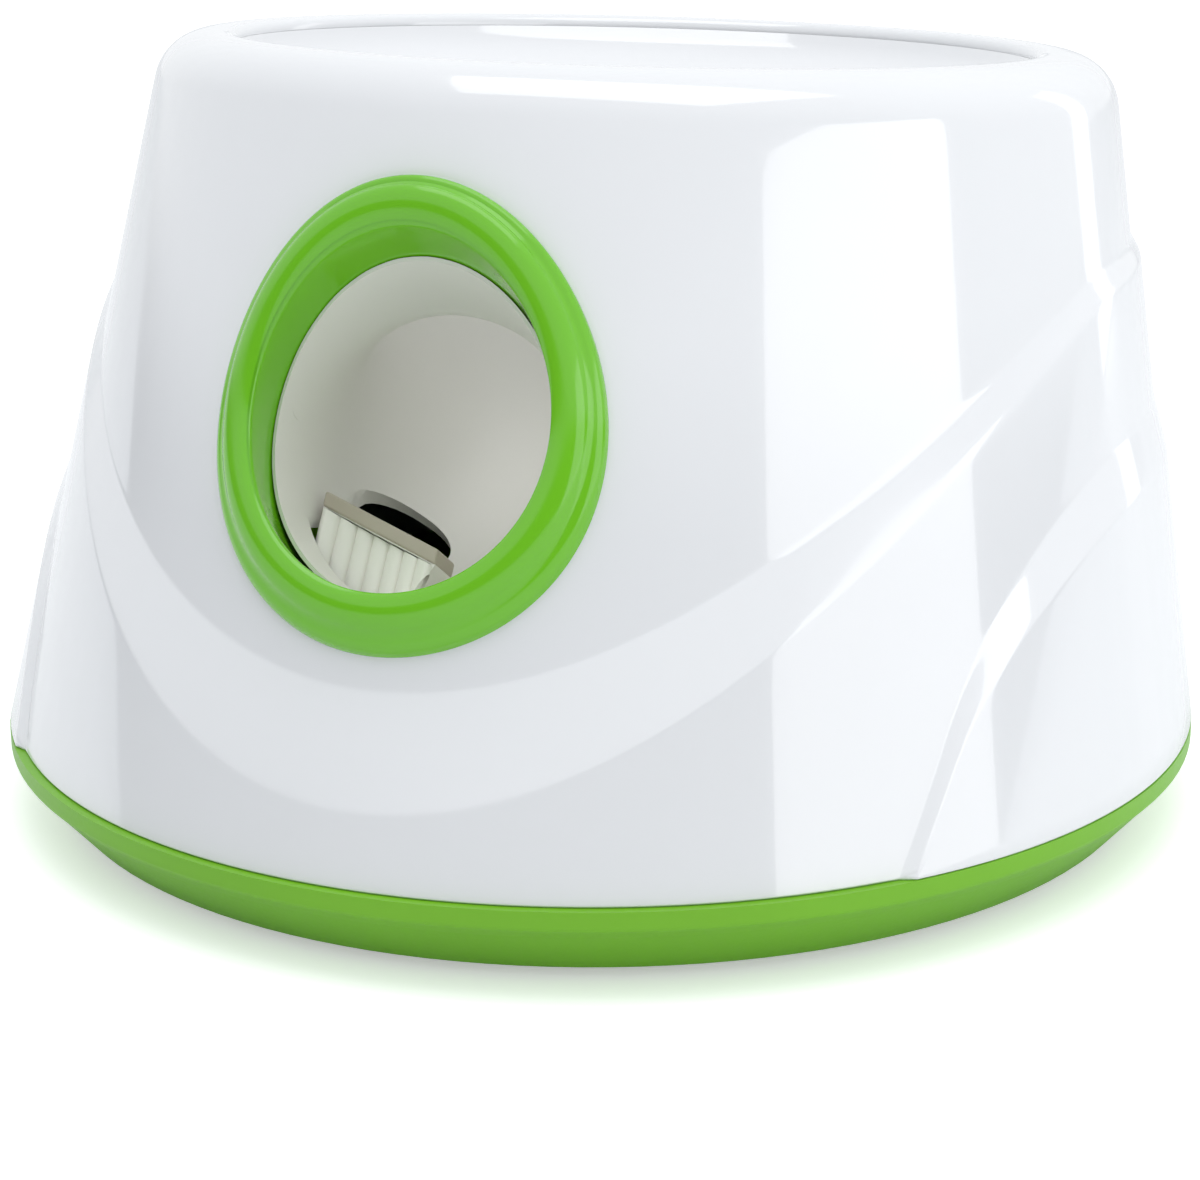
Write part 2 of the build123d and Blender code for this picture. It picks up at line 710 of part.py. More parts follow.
# ------------------------------------------------------------ hopper bowl
def bowl(grow):
    """Funnel from the mouth to the throat, its wall grown outwards."""
    knee_back = throat_y - spigot_bore - hopper_front_slope + hopper_knee_radius - rim_shift
    top_drop = shell_wall + (seat_gap if grow else -seat_gap)
    knee_drop = shell_wall + hopper_knee_drop + grow
    rings = [
        rim_plane(top_drop) * Circle(mouth_radius + grow),
        rim_plane(knee_drop) * Pos(0, knee_back) * Circle(hopper_knee_radius + grow),
        Pos(0, throat_y, throat_top + ring_gap + hopper_wall - grow) * Circle(spigot_bore + grow),
    ]
    return Solid.make_loft([ring.face().outer_wire() for ring in rings], ruled=True)


spigot_outer = chute_bore - spigot_gap
hopper = bowl(hopper_wall)
hopper += extrude(rim_plane(shell_wall + seat_gap) * Circle(mouth_radius + hopper_flange), -hopper_wall)
hopper += upright(0, throat_y, (throat_top - spigot_length, throat_top + hopper_wall), spigot_outer)
hopper -= bowl(0)
hopper -= upright(0, throat_y, (throat_top - 2 * spigot_length, throat_top + 2 * hopper_wall), spigot_bore)
write("hopper_bowl", hopper)

# ------------------------------------------------------------ gears
def involute(angle):
    """Polar angle of an involute for its pressure angle, in radians."""
    return tan(angle) - angle


def tooth_points(module, positions, centre):
    """Corners of one tooth, from one root to the other, about a centre angle in radians."""
    pitch = module * positions / 2
    base = pitch * cos(radians(pressure_angle))
    half = pi / (2 * positions) - tooth_slack * module / (2 * pitch) + involute(radians(pressure_angle))
    root, tip = pitch - dedendum * module, pitch + addendum * module
    flank = [max(base, root), pitch, tip]
    spread = [(r, half - involute(acos(base / r))) for r in flank]
    if root < base:
        spread.insert(0, (root, spread[0][1]))
    left = [(r * cos(centre - a), r * sin(centre - a)) for r, a in spread]
    right = [(r * cos(centre + a), r * sin(centre + a)) for r, a in reversed(spread)]
    return left + right


def wheel(axis, x_ends, module, positions, mesh_angle, tooth_there, bore, teeth=None):
    """Gear about a point, with a tooth, or else a space, at the mesh angle in degrees."""
    step = 2 * pi / positions
    start = radians(mesh_angle) + (0 if tooth_there else step / 2)
    kept = range(positions) if teeth is None else [k % positions for k in teeth]
    root = module * positions / 2 - dedendum * module
    corners = []
    for k in range(positions):
        centre = start + k * step
        if k in kept:
            corners += tooth_points(module, positions, centre)
        else:
            corners.append((root * cos(centre), root * sin(centre)))
    plane = Plane((x_ends[0], axis.Y, axis.Z), x_dir=(0, 1, 0), z_dir=(1, 0, 0))
    face = make_face(Polyline(*corners, close=True)) - Circle(bore)
    return extrude(plane * face, x_ends[1] - x_ends[0])


shaft_bore = gear_shaft_radius + running_gap
drive = wheel(drive_axis, drive_x, drive_module, drive_teeth, compound_angle, True, shaft_bore)
drive += wheel(drive_axis, winder_x, wind_module, winder_positions, winder_angle + 180, False, shaft_bore,
               teeth=[-k for k in range(winder_teeth)])
collar_x = (winder_x[1], drive_x[0])
drive += rod(drive_axis, collar_x, gear_hub_radius) - rod(drive_axis, collar_x, shaft_bore)
for y, z in around(web_hole_count, 0.0, web_hole_circle):
    drive -= rod(drive_axis + Vector(0, y, z), drive_x, web_hole_radius)
write("drive_gear", drive)

compound = wheel(compound_axis, compound_small_x, drive_module, compound_small_teeth, compound_angle + 180,
                 False, shaft_bore)
compound += wheel(compound_axis, compound_large_x, motor_module, compound_large_teeth, motor_angle,
                  True, shaft_bore)
collar_x = (compound_small_x[1], compound_large_x[0])
compound += rod(compound_axis, collar_x, gear_hub_radius) - rod(compound_axis, collar_x, shaft_bore)
write("compound_gear", compound)

pinion = wheel(motor_axis, motor_pinion_x, motor_module, motor_teeth, motor_angle + 180, False,
               motor_shaft_radius)
write("motor_pinion", pinion)

quadrant_kept = range(quadrant_teeth[0], quadrant_teeth[1] + 1)
quadrant = wheel(pivot, quadrant_x, wind_module, quadrant_positions, winder_angle, True, arm_shaft_radius,
                 teeth=quadrant_kept)
quadrant_step = 360 / quadrant_positions
sector_turns = [winder_angle + quadrant_step * (quadrant_teeth[0] - 0.5),
                winder_angle + quadrant_step * (quadrant_teeth[1] + 0.5)]
sector_reach = wind_module * quadrant_positions
sector = slab([(pivot.Y, pivot.Z)] + [
    (pivot.Y + sector_reach * cos(radians(turn)), pivot.Z + sector_reach * sin(radians(turn)))
    for turn in (sector_turns[0], sum(sector_turns) / 2, sector_turns[1])
], quadrant_x)
quadrant = quadrant & sector
quadrant += rod(pivot, quadrant_x, quadrant_hub_radius) - rod(pivot, quadrant_x, arm_shaft_radius)
write("arm_quadrant", quadrant)

write("drive_shaft", rod(drive_axis, (plate_x[0], cover_x[1]), gear_shaft_radius))
write("compound_shaft", rod(compound_axis, (plate_x[0], cover_x[1]), gear_shaft_radius))
motor_end = cover_x[1] + motor_length + motor_tail
motor_shaft_x = (motor_pinion_x[0] - motor_shaft_spare, motor_end + motor_shaft_spare)
write("motor_shaft", rod(motor_axis, motor_shaft_x, motor_shaft_radius))

# ------------------------------------------------------------ launch arm
arm_plane = Plane((0, pivot.Y, pivot.Z), x_dir=arm_out, z_dir=(1, 0, 0))


def arm_slab(outline, x_ends):
    """Plate of the arm: outline along the arm and towards the launch."""
    face = make_face(Polyline(*outline, close=True))
    return extrude(arm_plane.offset(x_ends[0]) * face, x_ends[1] - x_ends[0])


def on_face(outline):
    """Plate of the hammer: outline across and along the arm, from its back to its face."""
    return extrude(arm_face.offset(hammer_back) * make_face(Polyline(*outline, close=True)), -hammer_back)


hammer_back = -hammer_sink - hammer_thickness
arm = rod(pivot, arm_hub_x, arm_hub_radius)
arm += arm_slab([(0, -blade_root), (hammer_shoulder, hammer_back), (hammer_shoulder, -hammer_sink),
                 (hammer_root, -hammer_sink), (0, blade_root)],
                (arm_x - blade_thickness / 2, arm_x + blade_thickness / 2))
hammer = on_face([(hammer_root_x[0], hammer_root), (hammer_x[0], hammer_shoulder),
                  (hammer_x[0], hammer_end[0]), (hammer_x[1], hammer_end[1]),
                  (hammer_root_x[1], hammer_root)])
hollow_middle = pivot + Vector(arm_x, 0, 0) + strike * (hammer_hollow - hammer_sink)
hammer -= extrude(Plane(hollow_middle, z_dir=arm_out) * Circle(hammer_hollow), far)
for k in range(flute_count):
    offset = (k - (flute_count - 1) / 2) * flute_pitch
    depth = sqrt(hammer_hollow**2 - offset**2)
    place = hollow_middle + Vector(offset, 0, 0) - strike * depth
    hammer -= extrude(Plane(place, z_dir=arm_out) * Circle(flute_radius), far)
hammer += on_face([(hammer_x[0], hammer_end[0]), (hammer_x[0], hammer_end[0] + cap_thickness),
                   (hammer_x[1], hammer_end[1] + cap_thickness), (hammer_x[1], hammer_end[1])])
arm += hammer
horn_turn = radians(horn_lead - 90 - arm_rest)
horn_tip = (horn_reach * cos(horn_turn), horn_reach * sin(horn_turn))
across = (-sin(horn_turn) * horn_width, cos(horn_turn) * horn_width)
arm += arm_slab([(-across[0], -across[1]), (horn_tip[0] - across[0], horn_tip[1] - across[1]),
                 (horn_tip[0] + across[0], horn_tip[1] + across[1]), across], horn_plate_x)
arm += rod(horn_axis, horn_plate_x, horn_width)
arm += rod(horn_axis, (spring_x - horn_pin_radius, horn_plate_x[1]), horn_pin_radius)
arm -= rod(pivot, arm_hub_x, arm_shaft_radius)
write("launch_arm", arm)
write("arm_shaft", rod(pivot, arm_shaft_x, arm_shaft_radius))


def bushing(x_ends, flange_side):
    """Flanged plain bearing of the arm's shaft in a plate."""
    body = rod(pivot, x_ends, arm_shaft_radius + bushing_wall)
    edge = x_ends[1] if flange_side > 0 else x_ends[0]
    body += rod(pivot, sorted((edge, edge + flange_side * bushing_flange)), bushing_flange_radius)
    ends = (x_ends[0] - bushing_flange, x_ends[1] + bushing_flange)
    return body - rod(pivot, ends, arm_shaft_radius + running_gap)


write("arm_bushings", bushing(bracket_x, 1), bushing(plate_x, 1))

# ------------------------------------------------------------ gearbox plate, cover and bracket
def with_feet(plate, feet):
    """Add the feet of an upright plate, with their screw holes."""
    for x_ends, y_ends, place in feet:
        plate += block(x_ends, y_ends, (pad_top, pad_top + frame_foot_thickness))
        plate -= upright(*place, (pad_top, pad_top + frame_foot_thickness), frame_screw_radius + hole_gap)
    return plate


bush_hole = arm_shaft_radius + bushing_wall
plate = slab([(plate_y[0], pad_top), (plate_y[1], pad_top), *plate_corners], plate_x)
plate -= rod(pivot, plate_x, bush_hole)
for axis in (drive_axis, compound_axis):
    plate -= rod(axis, plate_x, gear_shaft_radius)
for y, z in pillar_places:
    plate -= rod(Vector(0, y, z), plate_x, frame_screw_radius + hole_gap)
write("gearbox_plate", with_feet(plate, plate_foot_list))

cover = slab([(cover_y[0], pad_top), (cover_y[1], pad_top), *cover_corners], cover_x)
pillar_pilot_x = (plate_x[1], plate_x[1] + pillar_screw_length + pilot_spare)
for y, z in pillar_places:
    pillar = Vector(0, y, z)
    cover += rod(pillar, (plate_x[1], cover_x[0]), pillar_radius)
    cover -= rod(pillar, pillar_pilot_x, frame_screw_radius + thread_gap)
for axis in (drive_axis, compound_axis):
    cover -= rod(axis, cover_x, gear_shaft_radius)
cover -= rod(motor_axis, cover_x, motor_nose_radius + running_gap)
write("gearbox_cover", with_feet(cover, cover_foot_list))

bracket = slab([(bracket_y[0], pad_top), (bracket_y[1], pad_top), *bracket_corners], bracket_x)
bracket -= rod(pivot, bracket_x, bush_hole)
write("arm_bracket", with_feet(bracket, bracket_foot_list))

can = rod(motor_axis, (cover_x[1], cover_x[1] + motor_length), motor_radius)
can &= block((0, far), (motor_axis.Y - motor_radius, motor_axis.Y + motor_radius),
             (motor_axis.Z - motor_flat, motor_axis.Z + motor_flat))
can += rod(motor_axis, (cover_x[1] - motor_nose, cover_x[1]), motor_nose_radius)
can += rod(motor_axis, (motor_end - motor_tail, motor_end), motor_tail_radius)
can -= rod(motor_axis, (cover_x[0], motor_end), motor_shaft_radius + running_gap)
write("winding_motor", can)

# ------------------------------------------------------------ spring and distance setting
spring_z = horn_axis.Z
crest = (spring_ends[1] - spring_ends[0]) / spring_crests
profile = [(0, spring_ends[0])]
spring_core = spring_radius - spring_groove
for k in range(spring_crests):
    start = spring_ends[0] + k * crest
    profile += [(spring_core, start), (spring_radius, start + crest / 2)]
profile += [(spring_core, spring_ends[1]), (0, spring_ends[1])]
coil_plane = Plane((spring_x, 0, spring_z), x_dir=(1, 0, 0), z_dir=(0, 0, 1))
coil_line = Axis((spring_x, 0, spring_z), (0, 1, 0))
coil = revolve(coil_plane * make_face(Polyline(*profile, close=True)), coil_line)


def eye(y, pin_radius, towards):
    """End loop of the spring round a pin, with its stem to the coil."""
    middle = pin_radius + slide_gap + wire_radius
    wire_x = (spring_x - wire_radius, spring_x + wire_radius)
    loop = rod(Vector(0, y, spring_z), wire_x, middle + wire_radius)
    loop -= rod(Vector(0, y, spring_z), wire_x, middle - wire_radius)
    stem_y = sorted((y + towards * middle, spring_ends[0 if towards > 0 else 1]))
    return loop + rod_y(spring_x, spring_z, stem_y, wire_radius)


spring = coil + eye(horn_axis.Y, horn_pin_radius, 1) + eye(fork_pin_y, fork_pin_radius, -1)
write("launch_spring", spring)

carriage_x = (spring_x - carriage_width / 2, spring_x + carriage_width / 2)
carriage = block(carriage_x, carriage_y, (guide_top + slide_gap, carriage_top))
carriage += block((spring_x - tongue_width / 2, spring_x + tongue_width / 2), carriage_y,
                  (guide_top - tongue_depth, guide_top + slide_gap))
for side in (0, 1):
    edge = carriage_x[side]
    span = sorted((edge, edge + (1 - 2 * side) * fork_plate))
    carriage += block(span, (carriage_y[0] - fork_reach, carriage_y[0]),
                      (spring_z - fork_half_height, spring_z + fork_half_height))
carriage += rod(Vector(0, fork_pin_y, spring_z), carriage_x, fork_pin_radius)
carriage -= rod_y(spring_x, lead_screw_z, carriage_y, lead_screw_radius + running_gap)
write("tension_carriage", carriage)

guide_x = (spring_x - guide_width / 2, spring_x + guide_width / 2)
guide = block(guide_x, guide_y, (floor_top, guide_top))
guide -= block((spring_x - tongue_width / 2 - slide_gap, spring_x + tongue_width / 2 + slide_gap), guide_y,
               (guide_top - tongue_depth - slide_gap, guide_top))
guide += block(guide_x, (guide_y[1], setting_motor_y[1]), (floor_top, floor_top + guide_base))
guide += block(guide_x, setting_motor_y, (floor_top, lead_screw_z - setting_motor_radius / 2))
guide -= rod_y(spring_x, lead_screw_z, setting_motor_y, setting_motor_radius + running_gap)
write("tension_guide", guide)
screw_end = setting_motor_y[0] + setting_motor_radius
write("lead_screw", rod_y(spring_x, lead_screw_z, (lead_screw_tip, screw_end), lead_screw_radius))
gear_motor = rod_y(spring_x, lead_screw_z, setting_motor_y, setting_motor_radius)
gear_motor -= rod_y(spring_x, lead_screw_z, (setting_motor_y[0], screw_end), lead_screw_radius + running_gap)
write("setting_motor", gear_motor)

# ------------------------------------------------------------ battery tray, cells, contacts and door
tray_outer = tray_inner + tray_wall
tray = block((-tray_outer, tray_outer), (tray_front - tray_wall, tray_back + tray_wall),
             (floor_top, tray_roof + tray_wall))
tray -= block((-tray_inner, tray_inner), (tray_front, tray_back), (floor_top, tray_roof))
write("battery_tray", tray)

cells = []
contacts = []
for row in range(cell_rows):
    y = tray_front + cell_gap / 2 + (row + 0.5) * cell_pitch
    axis = Vector(0, y, cell_z)
    for k in range(cells_per_row):
        start = -cells_per_row * cell_length / 2 + k * cell_length
        cell = rod(axis, (start + seat_gap, start + cell_length - cell_nub), cell_radius)
        cells.append(cell + rod(axis, (start + cell_length - cell_nub, start + cell_length), cell_nub_radius))
    for side in (-1, 1):
        wall = side * tray_inner
        inner = side * (tray_inner - contact_thickness)
        tip = side * (cells_per_row * cell_length / 2 + seat_gap)
        plate = block(sorted((inner, wall)), (y - contact_size[0] / 2, y + contact_size[0] / 2),
                      (cell_z - contact_size[1] / 2, cell_z + contact_size[1] / 2))
        contacts.append(plate + rod(axis, sorted((tip, inner)), contact_bump_radius))
write("battery_cells", *cells)
write("battery_contacts", *contacts)

door_back = well_y[1] - door_gap
door = block((-door_half, door_half), (door_hinge.Y, door_back), (foot_drop, foot_drop + door_thickness))
door += rod(door_hinge, (-door_half, door_half), door_thickness / 2)
door += rod(door_hinge, (-door_half - door_pin_length, door_half + door_pin_length), door_pin_radius)
door -= upright(0, door_back, (foot_drop, foot_drop + door_thickness / 2), door_notch)
write("battery_door", door)

# ------------------------------------------------------------ control board and buzzer
board = Pos(*board_centre, board_bottom) * extrude(Rectangle(*board_size), board_thickness)
for x, y in board_corners:
    board -= upright(x, y, (board_bottom, board_top), board_screw_radius + hole_gap)
write("control_board", board)


def on_board(x, y, width, depth, height):
    """Component with square sides on the control board, placed from the board's middle."""
    place = Pos(board_centre[0] + x, board_centre[1] + y, board_top)
    return place * extrude(Rectangle(width, depth), height)


def capacitor(x, y, radius, height):
    """Round component standing on the control board."""
    x, y = board_centre[0] + x, board_centre[1] + y
    return upright(x, y, (board_top, board_top + height), radius)


write("board_parts", *[on_board(*chip) for chip in board_blocks], *[capacitor(*can) for can in board_cans])
write("buzzer", upright(*buzzer_place, (floor_top, floor_top + buzzer_height), buzzer_radius))

# ------------------------------------------------------------ control panel
panel = extrude(panel_face * RectangleRounded(*panel_size, panel_corner), -panel_thickness)
rim_size = [size + 2 * panel_rim for size in panel_size]
panel_lip = RectangleRounded(*rim_size, panel_corner)
panel += extrude(panel_face.offset(-panel_thickness) * panel_lip, -panel_rim_thickness)
rocker_hole_z = rocker_size[1] / 2 + rocker_hole_margin
panel -= block((rocker_x - rocker_size[0] / 2 - panel_gap, rocker_x + rocker_size[0] / 2 + panel_gap),
               (panel_back, panel_plane), (panel_z - rocker_hole_z, panel_z + rocker_hole_z))
for side in (-1, 1):
    inner = rocker_x + side * (rocker_size[0] / 2 + panel_gap)
    ear_y = (rocker_axis.Y - rocker_pin_radius * 2, panel_back)
    ear_x = sorted((inner, inner + side * rocker_ear))
    panel += block(ear_x, ear_y, (panel_z - rocker_ear, panel_z + rocker_ear))
pin_ends = rocker_size[0] / 2 + rocker_pin_length
pin_hole_x = (rocker_x - pin_ends - panel_gap, rocker_x + pin_ends + panel_gap)
panel -= rod(rocker_axis, pin_hole_x, rocker_pin_radius + running_gap)
panel -= rod_y(button_x, panel_z, (panel_back, panel_plane), button_radius + panel_gap)
lens_start = button_x - (lens_count - 1) / 2 * lens_pitch
lens_places = [(lens_start + k * lens_pitch, panel_z + lens_rise) for k in range(lens_count)]
for x, z in lens_places:
    panel -= rod_y(x, z, (panel_back, panel_plane), lens_radius + seat_gap)
panel -= rod_y(jack_x, panel_z, (panel_back, panel_plane), jack_radius + seat_gap)
board_back = panel_back - panel_board_gap - board_thickness
post_z = panel_z - panel_board_post_drop
for x in panel_board_posts:
    panel += rod_y(x, post_z, (panel_back - panel_board_gap, panel_back), board_screw_radius * 2)
    panel -= rod_y(x, post_z, (panel_back - panel_board_gap, panel_back), board_screw_radius + thread_gap)
write("control_panel", panel)

collar_y = (panel_back - button_collar_thickness - slide_gap, panel_back - slide_gap)
button = rod_y(button_x, panel_z, (collar_y[0], panel_plane + button_proud), button_radius)
button = fillet(button.edges().sort_by(Axis.Y)[-1], button_round)
button += rod_y(button_x, panel_z, collar_y, button_radius + button_collar)
write("distance_button", button)

half_x, half_z = rocker_size[0] / 2, rocker_size[1] / 2
front = rocker_depth + rocker_proud
tail_z = half_z * rocker_tail_share
rocker_outline = [(-rocker_tail, -tail_z), (-rocker_tail, tail_z), (0, half_z), (front, half_z),
                  (front - half_z * tan(radians(rocker_tilt)), 0), (front, -half_z), (0, -half_z)]
rocker = slab(rocker_outline, (-half_x, half_x))
rocker += rod(Vector(0, 0, 0), (-pin_ends, pin_ends), rocker_pin_radius)
write("power_rocker", Pos(*rocker_axis) * Rot(rocker_tilt, 0, 0) * rocker)

lens_y = (panel_back, panel_plane + lens_proud)
write("indicator_lenses", *[rod_y(x, z, lens_y, lens_radius) for x, z in lens_places])

jack = rod_y(jack_x, panel_z, lens_y, jack_radius)
jack += block((jack_x - jack_body[0] / 2, jack_x + jack_body[0] / 2), (panel_back - jack_body[1], panel_back),
              (panel_z - jack_body[2] / 2, panel_z + jack_body[2] / 2))
jack -= rod_y(jack_x, panel_z, (lens_y[1] - jack_depth, lens_y[1]), jack_bore)
jack += rod_y(jack_x, panel_z, (lens_y[1] - jack_depth, panel_plane - lens_proud), jack_pin)
write("power_jack", jack)

small_board = block(panel_board_x, (board_back, board_back + board_thickness),
                    (panel_z - panel_board_height / 2, panel_z + panel_board_height / 2))
for x in panel_board_posts:
    small_board -= rod_y(x, post_z, (board_back, board_back + board_thickness), board_screw_radius + hole_gap)
small_board += block((button_x - tact_size / 2, button_x + tact_size / 2),
                     (board_back + board_thickness, board_back + board_thickness + tact_height),
                     (panel_z - tact_size / 2, panel_z + tact_size / 2))
write("panel_board", small_board)

# ------------------------------------------------------------ screws
case_screw = screw(case_screw_radius, case_screw_length, case_screw_head, case_screw_head_height)
case_screw = Rot(180, 0, 0) * case_screw
write("case_screws", *[Pos(x, y, case_head_seat) * case_screw for x, y in case_places])
small_screw = screw(board_screw_radius, board_screw_length, board_screw_head, board_screw_head_height)
write("chute_screws", *[Pos(x, y, ear_z + ear_thickness) * small_screw for x, y in post_places])
write("board_screws", *[Pos(x, y, board_top) * small_screw for x, y in board_corners])
frame_screw = screw(frame_screw_radius, frame_screw_length, frame_screw_head, frame_screw_head_height)
frame_seat = pad_top + frame_foot_thickness
write("frame_screws", *[Pos(*place, frame_seat) * frame_screw for _, _, place in all_frame_feet])
pillar_screw = screw(frame_screw_radius, pillar_screw_length, frame_screw_head, frame_screw_head_height)
write("gearbox_screws", *[Pos(plate_x[0], y, z) * Rot(0, -90, 0) * pillar_screw for y, z in pillar_places])
panel_screw = screw(board_screw_radius, panel_board_gap, board_screw_head, board_screw_head_height)
write("panel_screws", *[Pos(x, board_back, post_z) * Rot(90, 0, 0) * panel_screw for x in panel_board_posts])
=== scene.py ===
from math import atan2, cos, exp, log, pi, radians, sin, sqrt, tan
import bpy
from mathutils import Matrix, Vector


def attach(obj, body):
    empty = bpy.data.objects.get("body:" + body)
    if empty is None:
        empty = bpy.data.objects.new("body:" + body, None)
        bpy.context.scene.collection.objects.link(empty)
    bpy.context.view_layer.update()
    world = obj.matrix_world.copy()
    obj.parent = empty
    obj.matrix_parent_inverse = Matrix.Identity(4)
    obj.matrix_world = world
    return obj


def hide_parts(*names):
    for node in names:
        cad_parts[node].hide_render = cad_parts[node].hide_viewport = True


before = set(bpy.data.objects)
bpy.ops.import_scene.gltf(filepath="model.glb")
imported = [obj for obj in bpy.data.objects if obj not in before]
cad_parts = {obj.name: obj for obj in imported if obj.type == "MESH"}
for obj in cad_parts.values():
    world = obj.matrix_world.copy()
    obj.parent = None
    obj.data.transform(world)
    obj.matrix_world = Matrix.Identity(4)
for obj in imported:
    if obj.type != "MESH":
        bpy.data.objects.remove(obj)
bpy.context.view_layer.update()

# ---------------------------------------------------------------- room, lights and camera
# A pale studio: a plain floor, an even pale surround and two tall soft panels to the right of the
# camera, which draw upright bands on the glossy wall, with a broad soft lamp overhead.
camera_turn = radians(23)
camera_pitch = radians(17.094)
camera_roll = radians(-0.36)
widest = 0.1515
eye_distance, eye_height = 5.4208 * widest, 1.9639 * widest + 0.003
sensor_width, focal_pixels, picture_pixels = 36, 3367, 1200
eye = Vector((sin(camera_turn) * eye_distance, -cos(camera_turn) * eye_distance, eye_height))
ahead = Vector((-sin(camera_turn) * cos(camera_pitch), cos(camera_turn) * cos(camera_pitch),
                -sin(camera_pitch)))
right = Vector((cos(camera_turn), sin(camera_turn), 0))
above = right.cross(ahead)
right, above = (right * cos(camera_roll) + above * sin(camera_roll),
                above * cos(camera_roll) - right * sin(camera_roll))
bpy.ops.object.select_all(action="DESELECT")
bpy.ops.object.camera_add()
camera = bpy.context.object
camera.name = "studio_camera"
camera.data.sensor_width = sensor_width
camera.data.lens = sensor_width * focal_pixels / picture_pixels
camera.data.clip_start = 0.05
camera.matrix_world = Matrix(((right.x, above.x, -ahead.x, eye.x), (right.y, above.y, -ahead.y, eye.y),
                              (right.z, above.z, -ahead.z, eye.z), (0, 0, 0, 1)))
bpy.context.scene.camera = camera
bpy.context.scene.view_settings.view_transform = "Standard"


def new_material(name):
    """Empty material with a Principled shader."""
    material = bpy.data.materials.new(name)
    material.use_nodes = True
    nodes, links = material.node_tree.nodes, material.node_tree.links
    return material, nodes, links, nodes["Principled BSDF"]


def soft_lamp(name, place, width, height, power):
    """Rectangular area lamp."""
    bpy.ops.object.light_add(type="AREA", location=place)
    lamp = bpy.context.object
    lamp.name = name
    lamp.data.shape = "RECTANGLE"
    lamp.data.size = width
    lamp.data.size_y = height
    lamp.data.energy = power
    return lamp


def soft_panel(name, turn, distance, width, height, power):
    """Upright lamp on the floor that faces the launcher, placed by its turn from the camera's side."""
    angle = camera_turn + radians(turn)
    centre = Vector((sin(angle) * distance, -cos(angle) * distance, height / 2))
    lamp = soft_lamp(name, centre, width, height, power)
    lamp.rotation_euler = (Vector((0, 0, 0.1)) - centre).to_track_quat("-Z", "Y").to_euler()


soft_panel("panel_right", turn=52, distance=1.6, width=1.30, height=0.80, power=5.0)
soft_panel("panel_far_right", turn=122, distance=1.5, width=0.22, height=0.80, power=0.5)
overhead = soft_lamp("overhead", (0.1, -0.25, 1.7), width=1.5, height=1.1, power=8)
overhead.rotation_euler = (radians(-8), 0, 0)

# The surround brightens in one step just above the horizon, so that the wall's bevels, which lean
# differently from the wall, reflect another tone. Behind the launcher it is bright too.
surround = bpy.data.worlds.new("surround")
bpy.context.scene.world = surround
surround.use_nodes = True
nodes, links = surround.node_tree.nodes, surround.node_tree.links
even = nodes["Background"]
even.inputs["Color"].default_value = (0.96, 0.98, 1.0, 1)
toward = nodes.new("ShaderNodeTexCoord")


def along(direction, ends, values):
    """Smooth step of brightness along a direction of the room."""
    dot = nodes.new("ShaderNodeVectorMath")
    dot.operation = "DOT_PRODUCT"
    dot.inputs[1].default_value = direction
    step = nodes.new("ShaderNodeMapRange")
    step.interpolation_type = "SMOOTHSTEP"
    for socket, value in zip(("From Min", "From Max", "To Min", "To Max"), (*ends, *values)):
        step.inputs[socket].default_value = value
    links.new(toward.outputs["Generated"], dot.inputs[0])
    links.new(dot.outputs["Value"], step.inputs["Value"])
    return step.outputs["Result"]


level_ahead = Vector((ahead.x, ahead.y, 0)).normalized()
level_right = Vector((cos(camera_turn), sin(camera_turn), 0))
dome_way = Vector((0, 0, 1)) + level_ahead * 0.245 + level_right * 0.055
dome = along(dome_way, ends=(0.075, 0.155), values=(0.16, 0.98))
behind = along(level_ahead, ends=(0.45, 0.8), values=(0.0, 0.85))
brighter = nodes.new("ShaderNodeMath")
brighter.operation = "MAXIMUM"
links.new(dome, brighter.inputs[0])
links.new(behind, brighter.inputs[1])
links.new(brighter.outputs[0], even.inputs["Strength"])
seen = nodes.new("ShaderNodeBackground")
seen.inputs["Color"].default_value = (1, 1, 1, 1)
path = nodes.new("ShaderNodeLightPath")
choose = nodes.new("ShaderNodeMixShader")
links.new(path.outputs["Is Camera Ray"], choose.inputs[0])
links.new(even.outputs[0], choose.inputs[1])
links.new(seen.outputs[0], choose.inputs[2])
links.new(choose.outputs[0], nodes["World Output"].inputs[0])

# The floor is lit for the camera alone, more so far from the launcher, and keeps the shadow.
floor_radius, floor_drop = 6.0, 0.0002
bpy.ops.object.select_all(action="DESELECT")
bpy.ops.mesh.primitive_circle_add(vertices=96, radius=floor_radius, fill_type="NGON",
                                  location=(0, 0, -floor_drop))
bpy.ops.object.transform_apply(location=True)
floor = bpy.context.object
floor.name = "floor"
material, nodes, links, shader = new_material("floor_paper")
shader.inputs["Base Color"].default_value = (0.86, 0.87, 0.88, 1)
shader.inputs["Roughness"].default_value = 0.55
shader.inputs["Specular IOR Level"].default_value = 0.25
glow = nodes.new("ShaderNodeEmission")
path = nodes.new("ShaderNodeLightPath")
lift = nodes.new("ShaderNodeMath")
lift.operation = "MULTIPLY"
place = nodes.new("ShaderNodeTexCoord")
reach = nodes.new("ShaderNodeVectorMath")
reach.operation = "LENGTH"
fade = nodes.new("ShaderNodeMapRange")
for socket, value in (("From Min", 0.25), ("From Max", 1.6), ("To Min", 0.42), ("To Max", 1.1)):
    fade.inputs[socket].default_value = value
links.new(place.outputs["Object"], reach.inputs[0])
links.new(reach.outputs["Value"], fade.inputs["Value"])
links.new(fade.outputs["Result"], lift.inputs[1])
add = nodes.new("ShaderNodeAddShader")
links.new(path.outputs["Is Camera Ray"], lift.inputs[0])
links.new(lift.outputs[0], glow.inputs["Strength"])
links.new(shader.outputs[0], add.inputs[0])
links.new(glow.outputs[0], add.inputs[1])
